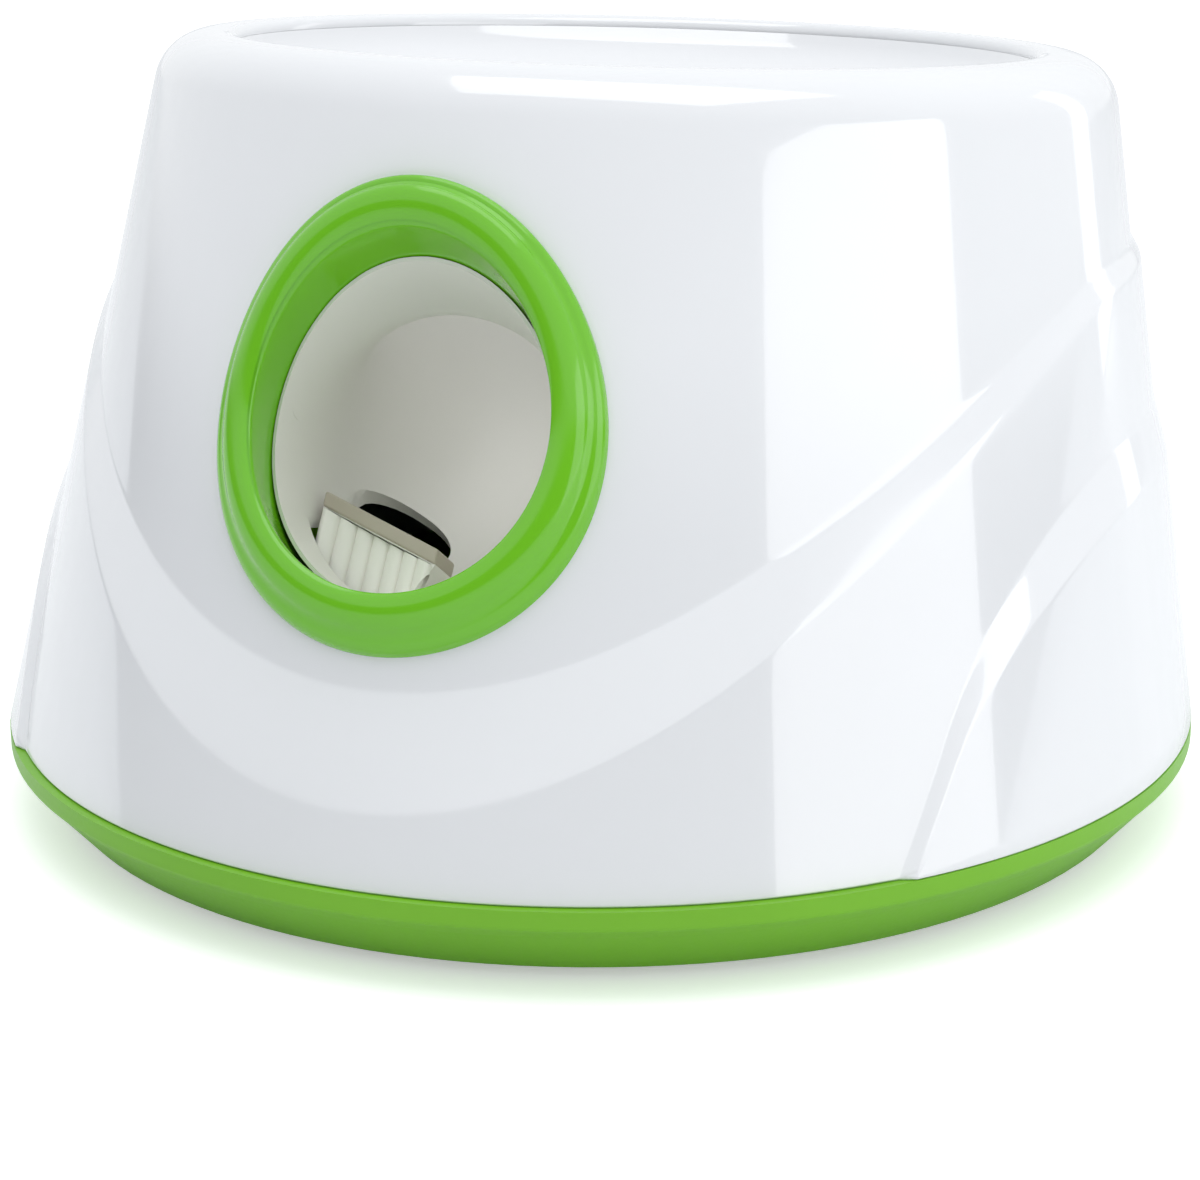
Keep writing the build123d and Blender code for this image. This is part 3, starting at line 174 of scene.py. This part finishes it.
links.new(add.outputs[0], nodes["Material Output"].inputs["Surface"])
floor.data.materials.append(material)


# ---------------------------------------------------------------- upper shell
# The housing is one glossy white ABS moulding, 3 mm thick: a leaning cone in three overlapping
# layers with a rolled top rim. It drops over the base pan's tongue and six screws hold it from below.
def moulded_plastic(name, colour, roughness, ripple, coat=0.0, mottle=0.02):
    """Moulded plastic: faint flow mottling in the colour and a very fine ripple in the surface."""
    material, nodes, links, shader = new_material(name)
    place = nodes.new("ShaderNodeTexCoord")
    cloud = nodes.new("ShaderNodeTexNoise")
    cloud.inputs["Scale"].default_value = 22.0
    cloud.inputs["Detail"].default_value = 3.0
    links.new(place.outputs["Object"], cloud.inputs["Vector"])
    shade = nodes.new("ShaderNodeValToRGB")
    shade.color_ramp.elements[0].position = 0.3
    shade.color_ramp.elements[1].position = 0.7
    shade.color_ramp.elements[0].color = (*[c * (1 - mottle) for c in colour], 1)
    shade.color_ramp.elements[1].color = (*[min(1.0, c * (1 + mottle)) for c in colour], 1)
    links.new(cloud.outputs["Fac"], shade.inputs["Fac"])
    links.new(shade.outputs["Color"], shader.inputs["Base Color"])
    fine = nodes.new("ShaderNodeTexNoise")
    fine.inputs["Scale"].default_value = 900.0
    fine.inputs["Detail"].default_value = 2.0
    links.new(place.outputs["Object"], fine.inputs["Vector"])
    rough = nodes.new("ShaderNodeMapRange")
    rough.inputs["To Min"].default_value = roughness * 0.85
    rough.inputs["To Max"].default_value = roughness * 1.2
    links.new(fine.outputs["Fac"], rough.inputs["Value"])
    links.new(rough.outputs["Result"], shader.inputs["Roughness"])
    bump = nodes.new("ShaderNodeBump")
    bump.inputs["Strength"].default_value = ripple
    bump.inputs["Distance"].default_value = 0.0002
    links.new(fine.outputs["Fac"], bump.inputs["Height"])
    links.new(bump.outputs["Normal"], shader.inputs["Normal"])
    shader.inputs["Coat Weight"].default_value = coat
    shader.inputs["Coat IOR"].default_value = 1.6
    shader.inputs["Coat Roughness"].default_value = 0.04
    return material


def dress(piece, material, sharp_angle=None):
    """Give a piece its material, and smooth shading up to an angle where one is given."""
    if sharp_angle is not None:
        bpy.ops.object.select_all(action="DESELECT")
        bpy.context.view_layer.objects.active = piece
        piece.select_set(True)
        bpy.ops.object.shade_smooth_by_angle(angle=radians(sharp_angle))
    piece.data.materials.clear()
    piece.data.materials.append(material)


white_gloss = moulded_plastic("white_abs_gloss", (0.79, 0.80, 0.82), 0.12, 0.02, coat=1.0, mottle=0.006)
body_radius, seam, rim_height = 0.150, 0.0215, 0.185
taper, rim_shift, rim_tilt, rim_round = 0.171, 0.0253, radians(4.7), 0.014
layer, wall, mouth = 0.002, 0.003, 0.100
rim_centre = Vector((0, rim_shift, rim_height))
rim_up = Vector((0, sin(rim_tilt), cos(rim_tilt)))


def skin(turn, z, inset):
    """Point of the wall at a turn from the port side."""
    r = body_radius - taper * (z - seam) - inset
    return Vector((r * sin(turn), rim_shift * (z - seam) / (rim_height - seam) - r * cos(turn), z))


def shares(count):
    """Even shares from 0 to 1."""
    return [k / count for k in range(count + 1)]


def quarter(count):
    """Even angles of a quarter turn."""
    return [pi / 2 * share for share in shares(count)]


def softplus(value):
    """Soft corner: close to 0 for low values and to the value itself for high ones."""
    return value if value > 30 else log(1 + exp(value))


def side_turn(turn):
    """Turn from the port side to the nearer flank, where it stays for the back half."""
    return min(turn, 2 * pi - turn, pi / 2)


# Heights of the lower and the upper edge of each bevel.
high_front, high_side = (0.0374, 0.0630), (0.1344, 0.1387)
low_side, low_fall, low_end = (0.0874, 0.1003), (0.0700, 0.0788), (-0.025, -0.015)
low_quarter, arc_share, low_ease = radians(38), 0.93, 0.008
bevel_ease = 0.00036


def high_band(turn, edge):
    """Height of an edge of the bevel between the inner and middle layers."""
    return high_front[edge] + (high_side[edge] - high_front[edge]) * sin(side_turn(turn)) ** 2


def low_band(turn, edge):
    """The same between the middle and outer layers, a quarter ellipse down to the seam."""
    reach = (pi / 2 - side_turn(turn)) / low_quarter
    steepness = arc_share / sqrt(1 - arc_share ** 2)
    fall = 1 - sqrt(1 - min(reach, arc_share) ** 2) + max(0.0, reach - arc_share) * steepness
    over = low_side[edge] - low_fall[edge] * fall - low_end[edge]
    return low_end[edge] + low_ease * softplus(over / low_ease)


def ramp(z, low, high):
    """Straight bevel from 0 to 1 with softened ends."""
    rise = softplus((z - low) / bevel_ease) - softplus((z - high) / bevel_ease)
    return bevel_ease * rise / (high - low)


def wall_inset(turn, z):
    """How far the layers hold the wall back from the outermost one."""
    return layer * sum(ramp(z, band(turn, 0), band(turn, 1)) for band in (low_band, high_band))


def rim_level(turn, inset):
    """Height at which the wall would meet the tilted plane of the rim."""
    z = rim_height
    for _ in range(16):
        z = rim_height - (skin(turn, z, inset).y - rim_shift) * tan(rim_tilt)
    return z


def crown(turn, inset, drop, radius, share):
    """Point of the rim's rounding, from the wall at 0 to the top at 1."""
    level = rim_level(turn, inset) - drop
    edge = skin(turn, level, inset)
    down = skin(turn, level - radius, inset) - edge
    outward = edge - rim_centre
    outward = (outward - rim_up * outward.dot(rim_up)).normalized()
    lean = atan2(down.dot(outward), -down.dot(rim_up))
    middle = edge - outward * (radius * tan((pi / 2 - lean) / 2)) - rim_up * radius
    angle = lean + (pi / 2 - lean) * share
    return middle + outward * (radius * cos(angle)) + rim_up * (radius * sin(angle))


def spaced(low, high, count):
    """Even steps that leave out both ends."""
    return [low + (high - low) * (k + 1) / (count + 1) for k in range(count)]


bevel_steps = (-0.0016, -0.0009, -0.0004, 0.0, 0.0004, 0.0009, 0.0016)
foot_steps, steps_after_edge, least_step = (0.0, 0.0003, 0.0007), (3, 14, 3, 16), 0.00003
foot_round, mouth_round, side_wall = 0.0007, 0.0028, 0.0024


def outside_heights(turn):
    """Heights of the section's outer points, close together at the bevels' edges."""
    edges = [low_band(turn, 0), low_band(turn, 1), high_band(turn, 0), high_band(turn, 1)]
    ends = [edge + bevel_steps[0] for edge in edges[1:]] + [crown(turn, 2 * layer, 0, rim_round, 0).z]
    heights = [seam + step for step in foot_steps]
    heights += spaced(seam + foot_steps[-1], max(seam, edges[0] + bevel_steps[0]), 12)
    for edge, end, count in zip(edges, ends, steps_after_edge):
        heights += [edge + step for step in bevel_steps] + spaced(edge + bevel_steps[-1], end, count)
    return [max(z, seam + least_step * k) for k, z in enumerate(heights)]


def shell_section(turn):
    """Section of the moulding at a turn: up the outside, over the rim and down the inside."""
    outward = Vector((sin(turn), -cos(turn) * cos(rim_tilt), cos(turn) * sin(rim_tilt)))

    def on_rim(reach, drop=0.0):
        return rim_centre + outward * reach - rim_up * drop

    def under_crown(share):
        return crown(turn, 2 * layer + wall, wall, rim_round - wall, share)

    points = []
    for z in outside_heights(turn):
        foot = foot_round * max(0.0, 1 - (z - seam) / foot_round) ** 2
        points.append(skin(turn, z, wall_inset(turn, z) + foot))
    points += [crown(turn, 2 * layer, 0, rim_round, share) for share in shares(12)]
    crown_end, mouth_start = (points[-1] - rim_centre).dot(outward), mouth + mouth_round
    points += [on_rim(crown_end + (mouth_start - crown_end) * share) for share in (0.35, 0.7)]
    points += [on_rim(mouth_start - mouth_round * sin(a), mouth_round * (1 - cos(a))) for a in quarter(6)]
    points += [on_rim(mouth, wall)]
    points += [on_rim((mouth + (under_crown(1.0) - rim_centre).dot(outward)) / 2, wall)]
    points += [under_crown(1 - share) for share in shares(6)]
    top = points[-1].z
    for share in shares(24)[1:]:
        z = top + (seam - top) * share
        points.append(skin(turn, z, wall_inset(turn, z) + side_wall))
    return points


def lathe_by_section(name, section, columns_count):
    """Closed ring of quads whose section is given at each turn. There are 256 columns at most."""
    sections = [section(2 * pi * k / columns_count) for k in range(columns_count)]
    rows = len(sections[0])
    bpy.ops.object.select_all(action="DESELECT")
    bpy.ops.mesh.primitive_torus_add(major_segments=columns_count, minor_segments=rows,
                                     major_radius=0.1, minor_radius=0.02)
    piece = bpy.context.object
    piece.name = name
    for index, vertex in enumerate(piece.data.vertices):
        vertex.co = sections[index // rows][index % rows]
    bpy.ops.object.mode_set(mode="EDIT")
    bpy.ops.mesh.select_all(action="SELECT")
    bpy.ops.mesh.normals_make_consistent(inside=False)
    bpy.ops.object.mode_set(mode="OBJECT")
    bpy.ops.object.shade_smooth_by_angle(angle=radians(40))
    piece.data.materials.clear()
    return piece


shell = lathe_by_section("shell_skin", shell_section, 256)


def combine(piece, other, operation):
    """Join another object onto the piece, or take it away, with an exact boolean."""
    bpy.ops.object.select_all(action="DESELECT")
    bpy.context.view_layer.objects.active = piece
    piece.select_set(True)
    boolean = piece.modifiers.new("boolean", "BOOLEAN")
    boolean.object = other
    boolean.operation = operation
    boolean.solver = "EXACT"
    bpy.ops.object.modifier_apply(modifier="boolean")
    bpy.data.objects.remove(other, do_unlink=True)


launch_rise = radians(44)
port = Vector((0, -0.1129, 0.119))
launch = Vector((0, -cos(launch_rise), sin(launch_rise)))
port_hole, port_hole_length = 0.0377, 0.12
bpy.ops.object.select_all(action="DESELECT")
bpy.ops.mesh.primitive_cylinder_add(vertices=128, radius=port_hole, depth=port_hole_length, location=port,
                                    rotation=(pi / 2 - launch_rise, 0, 0))
combine(shell, bpy.context.object, "DIFFERENCE")

panel_hole, panel_place, panel_corner = (0.0667, 0.05, 0.0347), (0, 0.155, 0.074), 0.007
bpy.ops.object.select_all(action="DESELECT")
bpy.ops.mesh.primitive_cube_add(size=1, location=panel_place)
opening = bpy.context.object
opening.scale = panel_hole
bpy.ops.object.transform_apply(location=False, rotation=False, scale=True)
bpy.ops.object.mode_set(mode="EDIT")
bpy.ops.mesh.select_all(action="DESELECT")
bpy.ops.object.mode_set(mode="OBJECT")
for edge in opening.data.edges:
    a, b = [opening.data.vertices[i].co for i in edge.vertices]
    edge.select = abs((a - b).y) > 0.8 * panel_hole[1]
bpy.ops.object.mode_set(mode="EDIT")
bpy.ops.mesh.bevel(offset=panel_corner, segments=8, affect="EDGES")
bpy.ops.object.mode_set(mode="OBJECT")
combine(shell, opening, "DIFFERENCE")
dress(shell, white_gloss, sharp_angle=35)
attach(shell, "housing")
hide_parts("upper_shell")

# ---------------------------------------------------------------- hopper bowl
# The funnel is a second glossy white moulding. Its steep side carries on the shell's rolled rim, turns
# softly into a shallow floor and drops through a short spigot into the chute; a flange holds it under
# the rim.
throat = Vector((0, -0.042, 0))
spigot_bore, spigot_outer, spigot_top = 0.0302, 0.03265, 0.1475
throat_level, spigot_end, throat_gap = 0.1498, 0.1400, 0.0007
knee_radius, knee_drop, under_knee_radius, under_knee_drop = 0.096, 0.011, 0.0982, 0.0134
knee_back = throat.y - spigot_bore - throat_gap + knee_radius - rim_shift
flange_radius, flange_drop, flange_bevel, seat_gap = 0.1032, 0.0056, 0.0004, 0.00005


def tilted(turn, radius, drop, back=0.0):
    """Point on a circle parallel to the rim and a little lower."""
    across_rim = Vector((0, cos(rim_tilt), -sin(rim_tilt)))
    return (rim_centre - rim_up * drop + across_rim * (back - radius * cos(turn))
            + Vector((radius * sin(turn), 0, 0)))


def throat_point(turn, radius, z):
    """Point on a level circle round the throat."""
    return throat + Vector((radius * sin(turn), -radius * cos(turn), z))


def turned_corner(start, corner, end, before, after, steps):
    """Points along a soft corner between two straight runs."""
    a = corner + (start - corner).normalized() * before
    b = corner + (end - corner).normalized() * after
    return [a * (1 - t) ** 2 + corner * 2 * t * (1 - t) + b * t ** 2 for t in shares(steps)]


def bowl_section(turn):
    """Section of the funnel at a turn: down its inside, round the spigot's end and up its outside."""
    lip_edge, knee = tilted(turn, mouth, wall + seat_gap), tilted(turn, knee_radius, knee_drop, knee_back)
    neck, end = throat_point(turn, spigot_bore, throat_level), throat_point(turn, spigot_bore, spigot_end)
    run = (neck - knee).length
    points = [lip_edge] + turned_corner(lip_edge, knee, neck, 0.0074, min(0.016, run * 0.45), 12)
    points += turned_corner(knee, neck, end, min(0.004, run * 0.3), 0.004, 6)
    points += [end, throat_point(turn, spigot_outer, spigot_end)]
    points += [throat_point(turn, spigot_outer, spigot_top)]
    points += [tilted(turn, under_knee_radius, under_knee_drop, knee_back)]
    points += [tilted(turn, flange_radius - flange_bevel, flange_drop)]
    points += [tilted(turn, flange_radius, flange_drop - flange_bevel / 2)]
    return points + [tilted(turn, flange_radius, wall + seat_gap)]


bowl = lathe_by_section("hopper_funnel", bowl_section, 192)
dress(bowl, white_gloss)
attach(bowl, "housing")
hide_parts("hopper_bowl")

# ---------------------------------------------------------------- port ring
# A glossy green ABS ring lines the launch port: a rounded lip that follows the leaning wall, in one
# piece with a short tunnel, snapped into the shell's round opening from outside.
green_gloss = moulded_plastic("green_abs_gloss", (0.150, 0.50, 0.010), 0.14, 0.02, coat=0.25)
bore, tunnel_outer, tunnel_end, tunnel_start = 0.0362, 0.0374, -0.0160, 0.0022
lip_radius, lip_foot, lip_round, lip_land = 0.0473, 0.0010, 0.0022, 0.0008
bead_half, bead_height, bead_foot = 0.0040, 0.0026, 0.0035
inner_round, inner_foot = 0.0018, 0.0028
# Radius about the launch axis and height off the wall: up the lip, over its bead and down the tunnel.
ring_profile = [(lip_radius, 0.0), (lip_radius, lip_foot)]
ring_profile += [(lip_radius - lip_round * (1 - cos(a)), lip_foot + lip_round * sin(a))
                 for a in quarter(6)[1:]]
ring_profile += [(bore + bead_half * (1 + cos(a)), bead_foot + bead_height * sin(a))
                 for a in [pi / 18 * k for k in range(1, 16)]]
ring_profile += [(bore + inner_round * (1 - sin(a)), inner_foot + inner_round * cos(a))
                 for a in quarter(6)[2:]]
ring_profile += [(bore, tunnel_start + (tunnel_end - tunnel_start) * share) for share in shares(6)[1:]]
ring_profile += [(tunnel_outer, tunnel_end), (tunnel_outer, -lip_land), (tunnel_outer, 0.0)]


def on_launch(radius, angle, rise):
    """Point at a radius about the launch axis whose height off the leaning wall is rise."""
    side = Vector((1, 0, 0)) * cos(angle) + launch.cross(Vector((1, 0, 0))) * sin(angle)
    base = port + side * radius
    low, high = -0.07, 0.07
    for _ in range(40):
        middle = (low + high) / 2
        p = base + launch * middle
        back = rim_shift * (p.z - seam) / (rim_height - seam)
        away = sqrt(p.x ** 2 + (p.y - back) ** 2) - (body_radius - taper * (p.z - seam) - 2 * layer)
        low, high = (low, middle) if away > rise else (middle, high)
    return base + launch * low


def ring_section(turn):
    """The ring's profile at a turn about the launch axis."""
    return [on_launch(radius, turn, rise) for radius, rise in ring_profile]


ring = lathe_by_section("port_ring_lip", ring_section, 192)
dress(ring, green_gloss, sharp_angle=35)
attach(ring, "housing")
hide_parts("port_ring")

# ---------------------------------------------------------------- launch chute
# The ball's way is an off-white satin ABS elbow. Its front end slips into the ring's tunnel and its top
# takes the hopper's spigot; four ears rest on the base's posts and two bosses with blind bores hold the
# light barrier.
off_white = moulded_plastic("off_white_abs", (0.80, 0.79, 0.74), 0.36, 0.04, mottle=0.01)
bend, bend_turn = 0.038, radians(134)
corner = port - launch * ((throat.y - port.y) / cos(launch_rise))
bend_top = corner + Vector((0, 0, bend * tan(bend_turn / 2)))
bend_front = corner + launch * (bend * tan(bend_turn / 2))
bend_middle = bend_top - Vector((0, bend, 0))
tube_stations, front_share, top_share, flare_share = 48, 0.12, 0.06, 0.5
front_reach, top_reach = 0.045, 0.007
tube_outer, tube_inner, outer_flare, inner_flare = 0.0356, 0.0330, 0.0003, 0.0021


def tube_section(turn):
    """Outside of the elbow from the port to the hopper, then its inside back again."""
    outer_line, inner_line = [], []
    for s in shares(tube_stations - 1):
        flare = max(0.0, 1 - max(0.0, s - front_share) / flare_share)
        flare = flare * flare * (3 - 2 * flare)
        if s < front_share:
            middle, way = bend_front + launch * (front_reach * (1 - s / front_share)), launch
        elif s < 1 - top_share:
            angle = bend_turn * (s - front_share) / (1 - front_share - top_share)
            swing = Matrix.Rotation(angle, 3, "X")
            middle, way = bend_middle + swing @ (bend_front - bend_middle), swing @ launch
        else:
            rise = top_reach * (s - 1 + top_share) / top_share
            middle, way = bend_top + Vector((0, 0, rise)), Vector((0, 0, -1))
        side = Vector((1, 0, 0)) * cos(turn) + way.cross(Vector((1, 0, 0))) * sin(turn)
        outer_line.append(middle + side * (tube_outer + outer_flare * flare))
        inner_line.append(middle + side * (tube_inner + inner_flare * flare))
    return outer_line + inner_line[::-1]


def outside_section(turn):
    """What lies outside a leaning cone a little within the wall."""
    inset, low, high = 2 * layer + 0.0075, 0.03, 0.19
    far = Vector((sin(turn), -cos(turn), 0)) * 0.3
    return [skin(turn, low, inset), skin(turn, high, inset),
            far + Vector((0, 0, high)), far + Vector((0, 0, low))]


chute = lathe_by_section("ball_elbow", tube_section, 128)
combine(chute, lathe_by_section("outside", outside_section, 96), "DIFFERENCE")


def box(size, place):
    """Plain box that is joined on or taken away."""
    bpy.ops.object.select_all(action="DESELECT")
    bpy.ops.mesh.primitive_cube_add(size=1, location=place, scale=size)
    bpy.ops.object.transform_apply(location=True, rotation=True, scale=True)
    return bpy.context.object


def bar(radius, length, place, vertices, lean=0.0):
    """Plain round bar, upright or leaning over toward X."""
    bpy.ops.object.select_all(action="DESELECT")
    bpy.ops.mesh.primitive_cylinder_add(vertices=vertices, radius=radius, depth=length, location=place,
                                        rotation=(0, lean, 0))
    bpy.ops.object.transform_apply(location=True, rotation=True, scale=True)
    return bpy.context.object


ear_size, ear_x, ear_places = (0.0187, 0.010, 0.003), 0.04465, (-0.094, -0.060)
ear_hole, ear_hole_x = 0.0018, 0.049
ear_level = bend_middle.z - sqrt(bend ** 2 - (ear_places[1] - bend_middle.y) ** 2) - ear_size[2] / 2
light_y, light_z = -0.092, 0.117
boss_radius, boss_length, boss_x = 0.006, 0.0068, 0.0376
light_bore, light_bore_length, light_bore_x = 0.0029, 0.0355, 0.0523
for side in (-1, 1):
    for place in ear_places:
        combine(chute, box(ear_size, (side * ear_x, place, ear_level)), "UNION")
        combine(chute, bar(ear_hole, 0.02, (side * ear_hole_x, place, ear_level), 32), "DIFFERENCE")
    combine(chute, bar(boss_radius, boss_length, (side * boss_x, light_y, light_z), 48, pi / 2), "UNION")
    light_hole = bar(light_bore, light_bore_length, (side * light_bore_x, light_y, light_z), 48, pi / 2)
    combine(chute, light_hole, "DIFFERENCE")

pivot = Vector((0, -0.1215, 0.0492))


def swept_slot(outline, low, high):
    """Cutter of the arm's swing: a flat outline (across, out from the pivot) spun about the pivot."""
    bpy.ops.object.select_all(action="DESELECT")
    bpy.ops.mesh.primitive_circle_add(vertices=len(outline), radius=1, fill_type="NGON")
    blade = bpy.context.object
    for vertex, (x, out) in zip(blade.data.vertices, outline):
        vertex.co = pivot + Vector((x, out * cos(radians(low)), out * sin(radians(low))))
    bpy.ops.object.mode_set(mode="EDIT")
    bpy.ops.mesh.select_all(action="SELECT")
    bpy.ops.mesh.spin(steps=30, angle=radians(low - high), center=pivot, axis=(1, 0, 0))
    bpy.ops.mesh.select_all(action="SELECT")
    bpy.ops.mesh.remove_doubles(threshold=0.000001)
    bpy.ops.mesh.normals_make_consistent(inside=False)
    bpy.ops.object.mode_set(mode="OBJECT")
    return blade


def rounded(x0, x1, near, far, radius):
    """Outline with two round far corners."""
    right = [(x1 - radius + radius * cos(a), far - radius + radius * sin(a)) for a in quarter(8)]
    left = [(x0 + radius - radius * sin(a), far - radius + radius * cos(a)) for a in quarter(8)]
    return [(x0, near), (x1, near)] + right + left


slot_low, slot_high, slot_near = -8, 60, 0.024
hammer_slot = rounded(-0.0312, -0.0120, slot_near, 0.0710, 0.0090)
shank_slot = rounded(-0.0130, 0.0034, slot_near, 0.0500, 0.0030)
for outline in (hammer_slot, shank_slot):
    combine(chute, swept_slot(outline, slot_low, slot_high), "DIFFERENCE")
dress(chute, off_white, sharp_angle=35)
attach(chute, "housing")
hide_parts("launch_chute")

# ---------------------------------------------------------------- hammer pad and cap
# The face that strikes the ball wears an ivory acetal pad of seven rounded ribs, hollowed across to the
# ball, bonded to the arm; its slanted end is drawn darker, in a sand colour, by a thin plate laid over it
# that moves with the arm.
ivory = moulded_plastic("ivory_acetal", (0.91, 0.90, 0.84), 0.34, 0.05)
sand = moulded_plastic("sand_darker_end", (0.50, 0.45, 0.37), 0.45, 0.08)
arm_rise = radians(56)
arm_out = Vector((0, cos(arm_rise), sin(arm_rise)))
strike = Vector((0, -sin(arm_rise), cos(arm_rise)))
hammer_left, hammer_width, hammer_slant = -0.0295, 0.031, 0.011
pad_left, pad_width, pad_end, pad_rise, pad_thickness = -0.0292, 0.0302, 0.0505, 0.0004, 0.0010
root_near, root_left, root_right = 0.027, -0.019, -0.005
left_width, left_rise, right_width, right_rise = 0.0105, 0.015, 0.0065, 0.0115
hollow_radius, hollow_x, hollow_level = 0.034, -0.014, 0.031
ribs, rib_height = 7, 0.0013


def on_hammer(x, out, rise):
    """Point across the arm, out from its pivot and up in the direction of the strike."""
    return pivot + Vector((x, 0, 0)) + arm_out * out + strike * rise


bpy.ops.object.select_all(action="DESELECT")
bpy.ops.mesh.primitive_grid_add(x_subdivisions=140, y_subdivisions=10, size=1)
pad = bpy.context.object
pad.name = "hammer_pad"
for vertex in pad.data.vertices:
    u, v = vertex.co.x + 0.5, vertex.co.y + 0.5
    x = pad_left + pad_width * u
    far_end = pad_end - hammer_slant * (x - hammer_left) / hammer_width
    near_end = (root_near + max(0.0, (root_left - x) / left_width) * left_rise
                + max(0.0, (x - root_right) / right_width) * right_rise)
    hollow = min(0.0, hollow_level - sqrt(hollow_radius ** 2 - (x - hollow_x) ** 2))
    rib = rib_height * sqrt(max(0.0, 1 - (2 * ((u * ribs) % 1) - 1) ** 2))
    vertex.co = on_hammer(x, near_end + (far_end - near_end) * v, hollow + pad_rise + rib)
thick = pad.modifiers.new("thick", "SOLIDIFY")
thick.thickness = pad_thickness
thick.offset = -1.0
bpy.ops.object.modifier_apply(modifier="thick")
dress(pad, ivory, sharp_angle=50)
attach(pad, "arm")

# Thin plate that draws the hammer's slanted end darker, in a sand colour, over the arm's own end.
cap_left, cap_width, cap_start, cap_thickness = -0.0297, 0.0314, 0.0510, 0.0036
cap_low, cap_height, cap_round = -0.0102, 0.0108, 0.0006
bpy.ops.object.select_all(action="DESELECT")
bpy.ops.mesh.primitive_cube_add(size=1)
cap = bpy.context.object
cap.name = "hammer_cap"
for vertex in cap.data.vertices:
    across, out, rise = vertex.co + Vector((0.5, 0.5, 0.5))
    reach = cap_start - hammer_slant * across + cap_thickness * out
    vertex.co = on_hammer(cap_left + cap_width * across, reach, cap_low + cap_height * rise)
soft = cap.modifiers.new("soft", "BEVEL")
soft.width = cap_round
soft.segments = 4
bpy.ops.object.modifier_apply(modifier="soft")
dress(cap, sand, sharp_angle=40)
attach(cap, "arm")

# ---------------------------------------------------------------- nodes of the frame that keep their shape
# The base pan is satin green ABS; inner pieces are natural nylon, acetal, steel, bronze and black
# mouldings, each with its own finish.
green_satin = moulded_plastic("green_abs_satin", (0.168, 0.46, 0.008), 0.36, 0.05, mottle=0.03)
nylon = moulded_plastic("natural_nylon", (0.70, 0.67, 0.57), 0.42, 0.06)
acetal = moulded_plastic("white_acetal", (0.78, 0.78, 0.75), 0.35, 0.04)
black = moulded_plastic("black_plastic", (0.018, 0.018, 0.02), 0.38, 0.12, mottle=0.1)
brown = moulded_plastic("brown_phenolic", (0.24, 0.155, 0.11), 0.5, 0.1, mottle=0.08)
grey = moulded_plastic("grey_plastic", (0.11, 0.115, 0.12), 0.42, 0.1, mottle=0.05)
rubber = moulded_plastic("black_rubber", (0.016, 0.016, 0.016), 0.75, 0.3, mottle=0.15)
board_green = moulded_plastic("solder_mask", (0.01, 0.10, 0.035), 0.3, 0.08, mottle=0.1)
jacket = moulded_plastic("cell_jacket", (0.03, 0.033, 0.04), 0.3, 0.05)


def metal(name, colour, roughness):
    """Bare metal with fine drawn lines."""
    material, nodes, links, shader = new_material(name)
    shader.inputs["Metallic"].default_value = 1.0
    shader.inputs["Base Color"].default_value = (*colour, 1)
    place = nodes.new("ShaderNodeTexCoord")
    stretch = nodes.new("ShaderNodeMapping")
    stretch.inputs["Scale"].default_value = (40, 900, 900)
    lines = nodes.new("ShaderNodeTexNoise")
    lines.inputs["Scale"].default_value = 1.0
    spread = nodes.new("ShaderNodeMapRange")
    spread.inputs["To Min"].default_value = roughness * 0.75
    spread.inputs["To Max"].default_value = roughness * 1.3
    links.new(place.outputs["Object"], stretch.inputs["Vector"])
    links.new(stretch.outputs["Vector"], lines.inputs["Vector"])
    links.new(lines.outputs["Fac"], spread.inputs["Value"])
    links.new(spread.outputs["Result"], shader.inputs["Roughness"])
    return material


steel = metal("bright_steel", (0.62, 0.62, 0.63), 0.28)
wire = metal("spring_wire", (0.45, 0.45, 0.46), 0.32)
zinc = metal("zinc_plate", (0.60, 0.60, 0.57), 0.34)
bronze = metal("sintered_bronze", (0.60, 0.40, 0.18), 0.42)
nickel = metal("nickel_plate", (0.66, 0.64, 0.58), 0.22)
screws = "case_screws chute_screws gearbox_screws frame_screws board_screws panel_screws"
finishes = (
    (ivory, "launch_arm"),
    (green_satin, "base_pan battery_door"),
    (green_gloss, "distance_button"),
    (nylon, "arm_quadrant drive_gear"),
    (acetal, "compound_gear tension_carriage indicator_lenses"),
    (steel, "arm_shaft arm_bracket drive_shaft compound_shaft motor_shaft winding_motor"),
    (steel, "lead_screw setting_motor"),
    (wire, "launch_spring"),
    (bronze, "arm_bushings motor_pinion"),
    (brown, "gearbox_plate gearbox_cover"),
    (grey, "tension_guide battery_tray"),
    (jacket, "battery_cells"),
    (nickel, "battery_contacts"),
    (board_green, "control_board panel_board"),
    (black, "board_parts buzzer sensor_emitter sensor_receiver control_panel power_rocker power_jack"),
    (rubber, "rubber_feet"),
    (zinc, screws),
)
for finish, names in finishes:
    for name in names.split():
        dress(bpy.data.objects[name], finish)
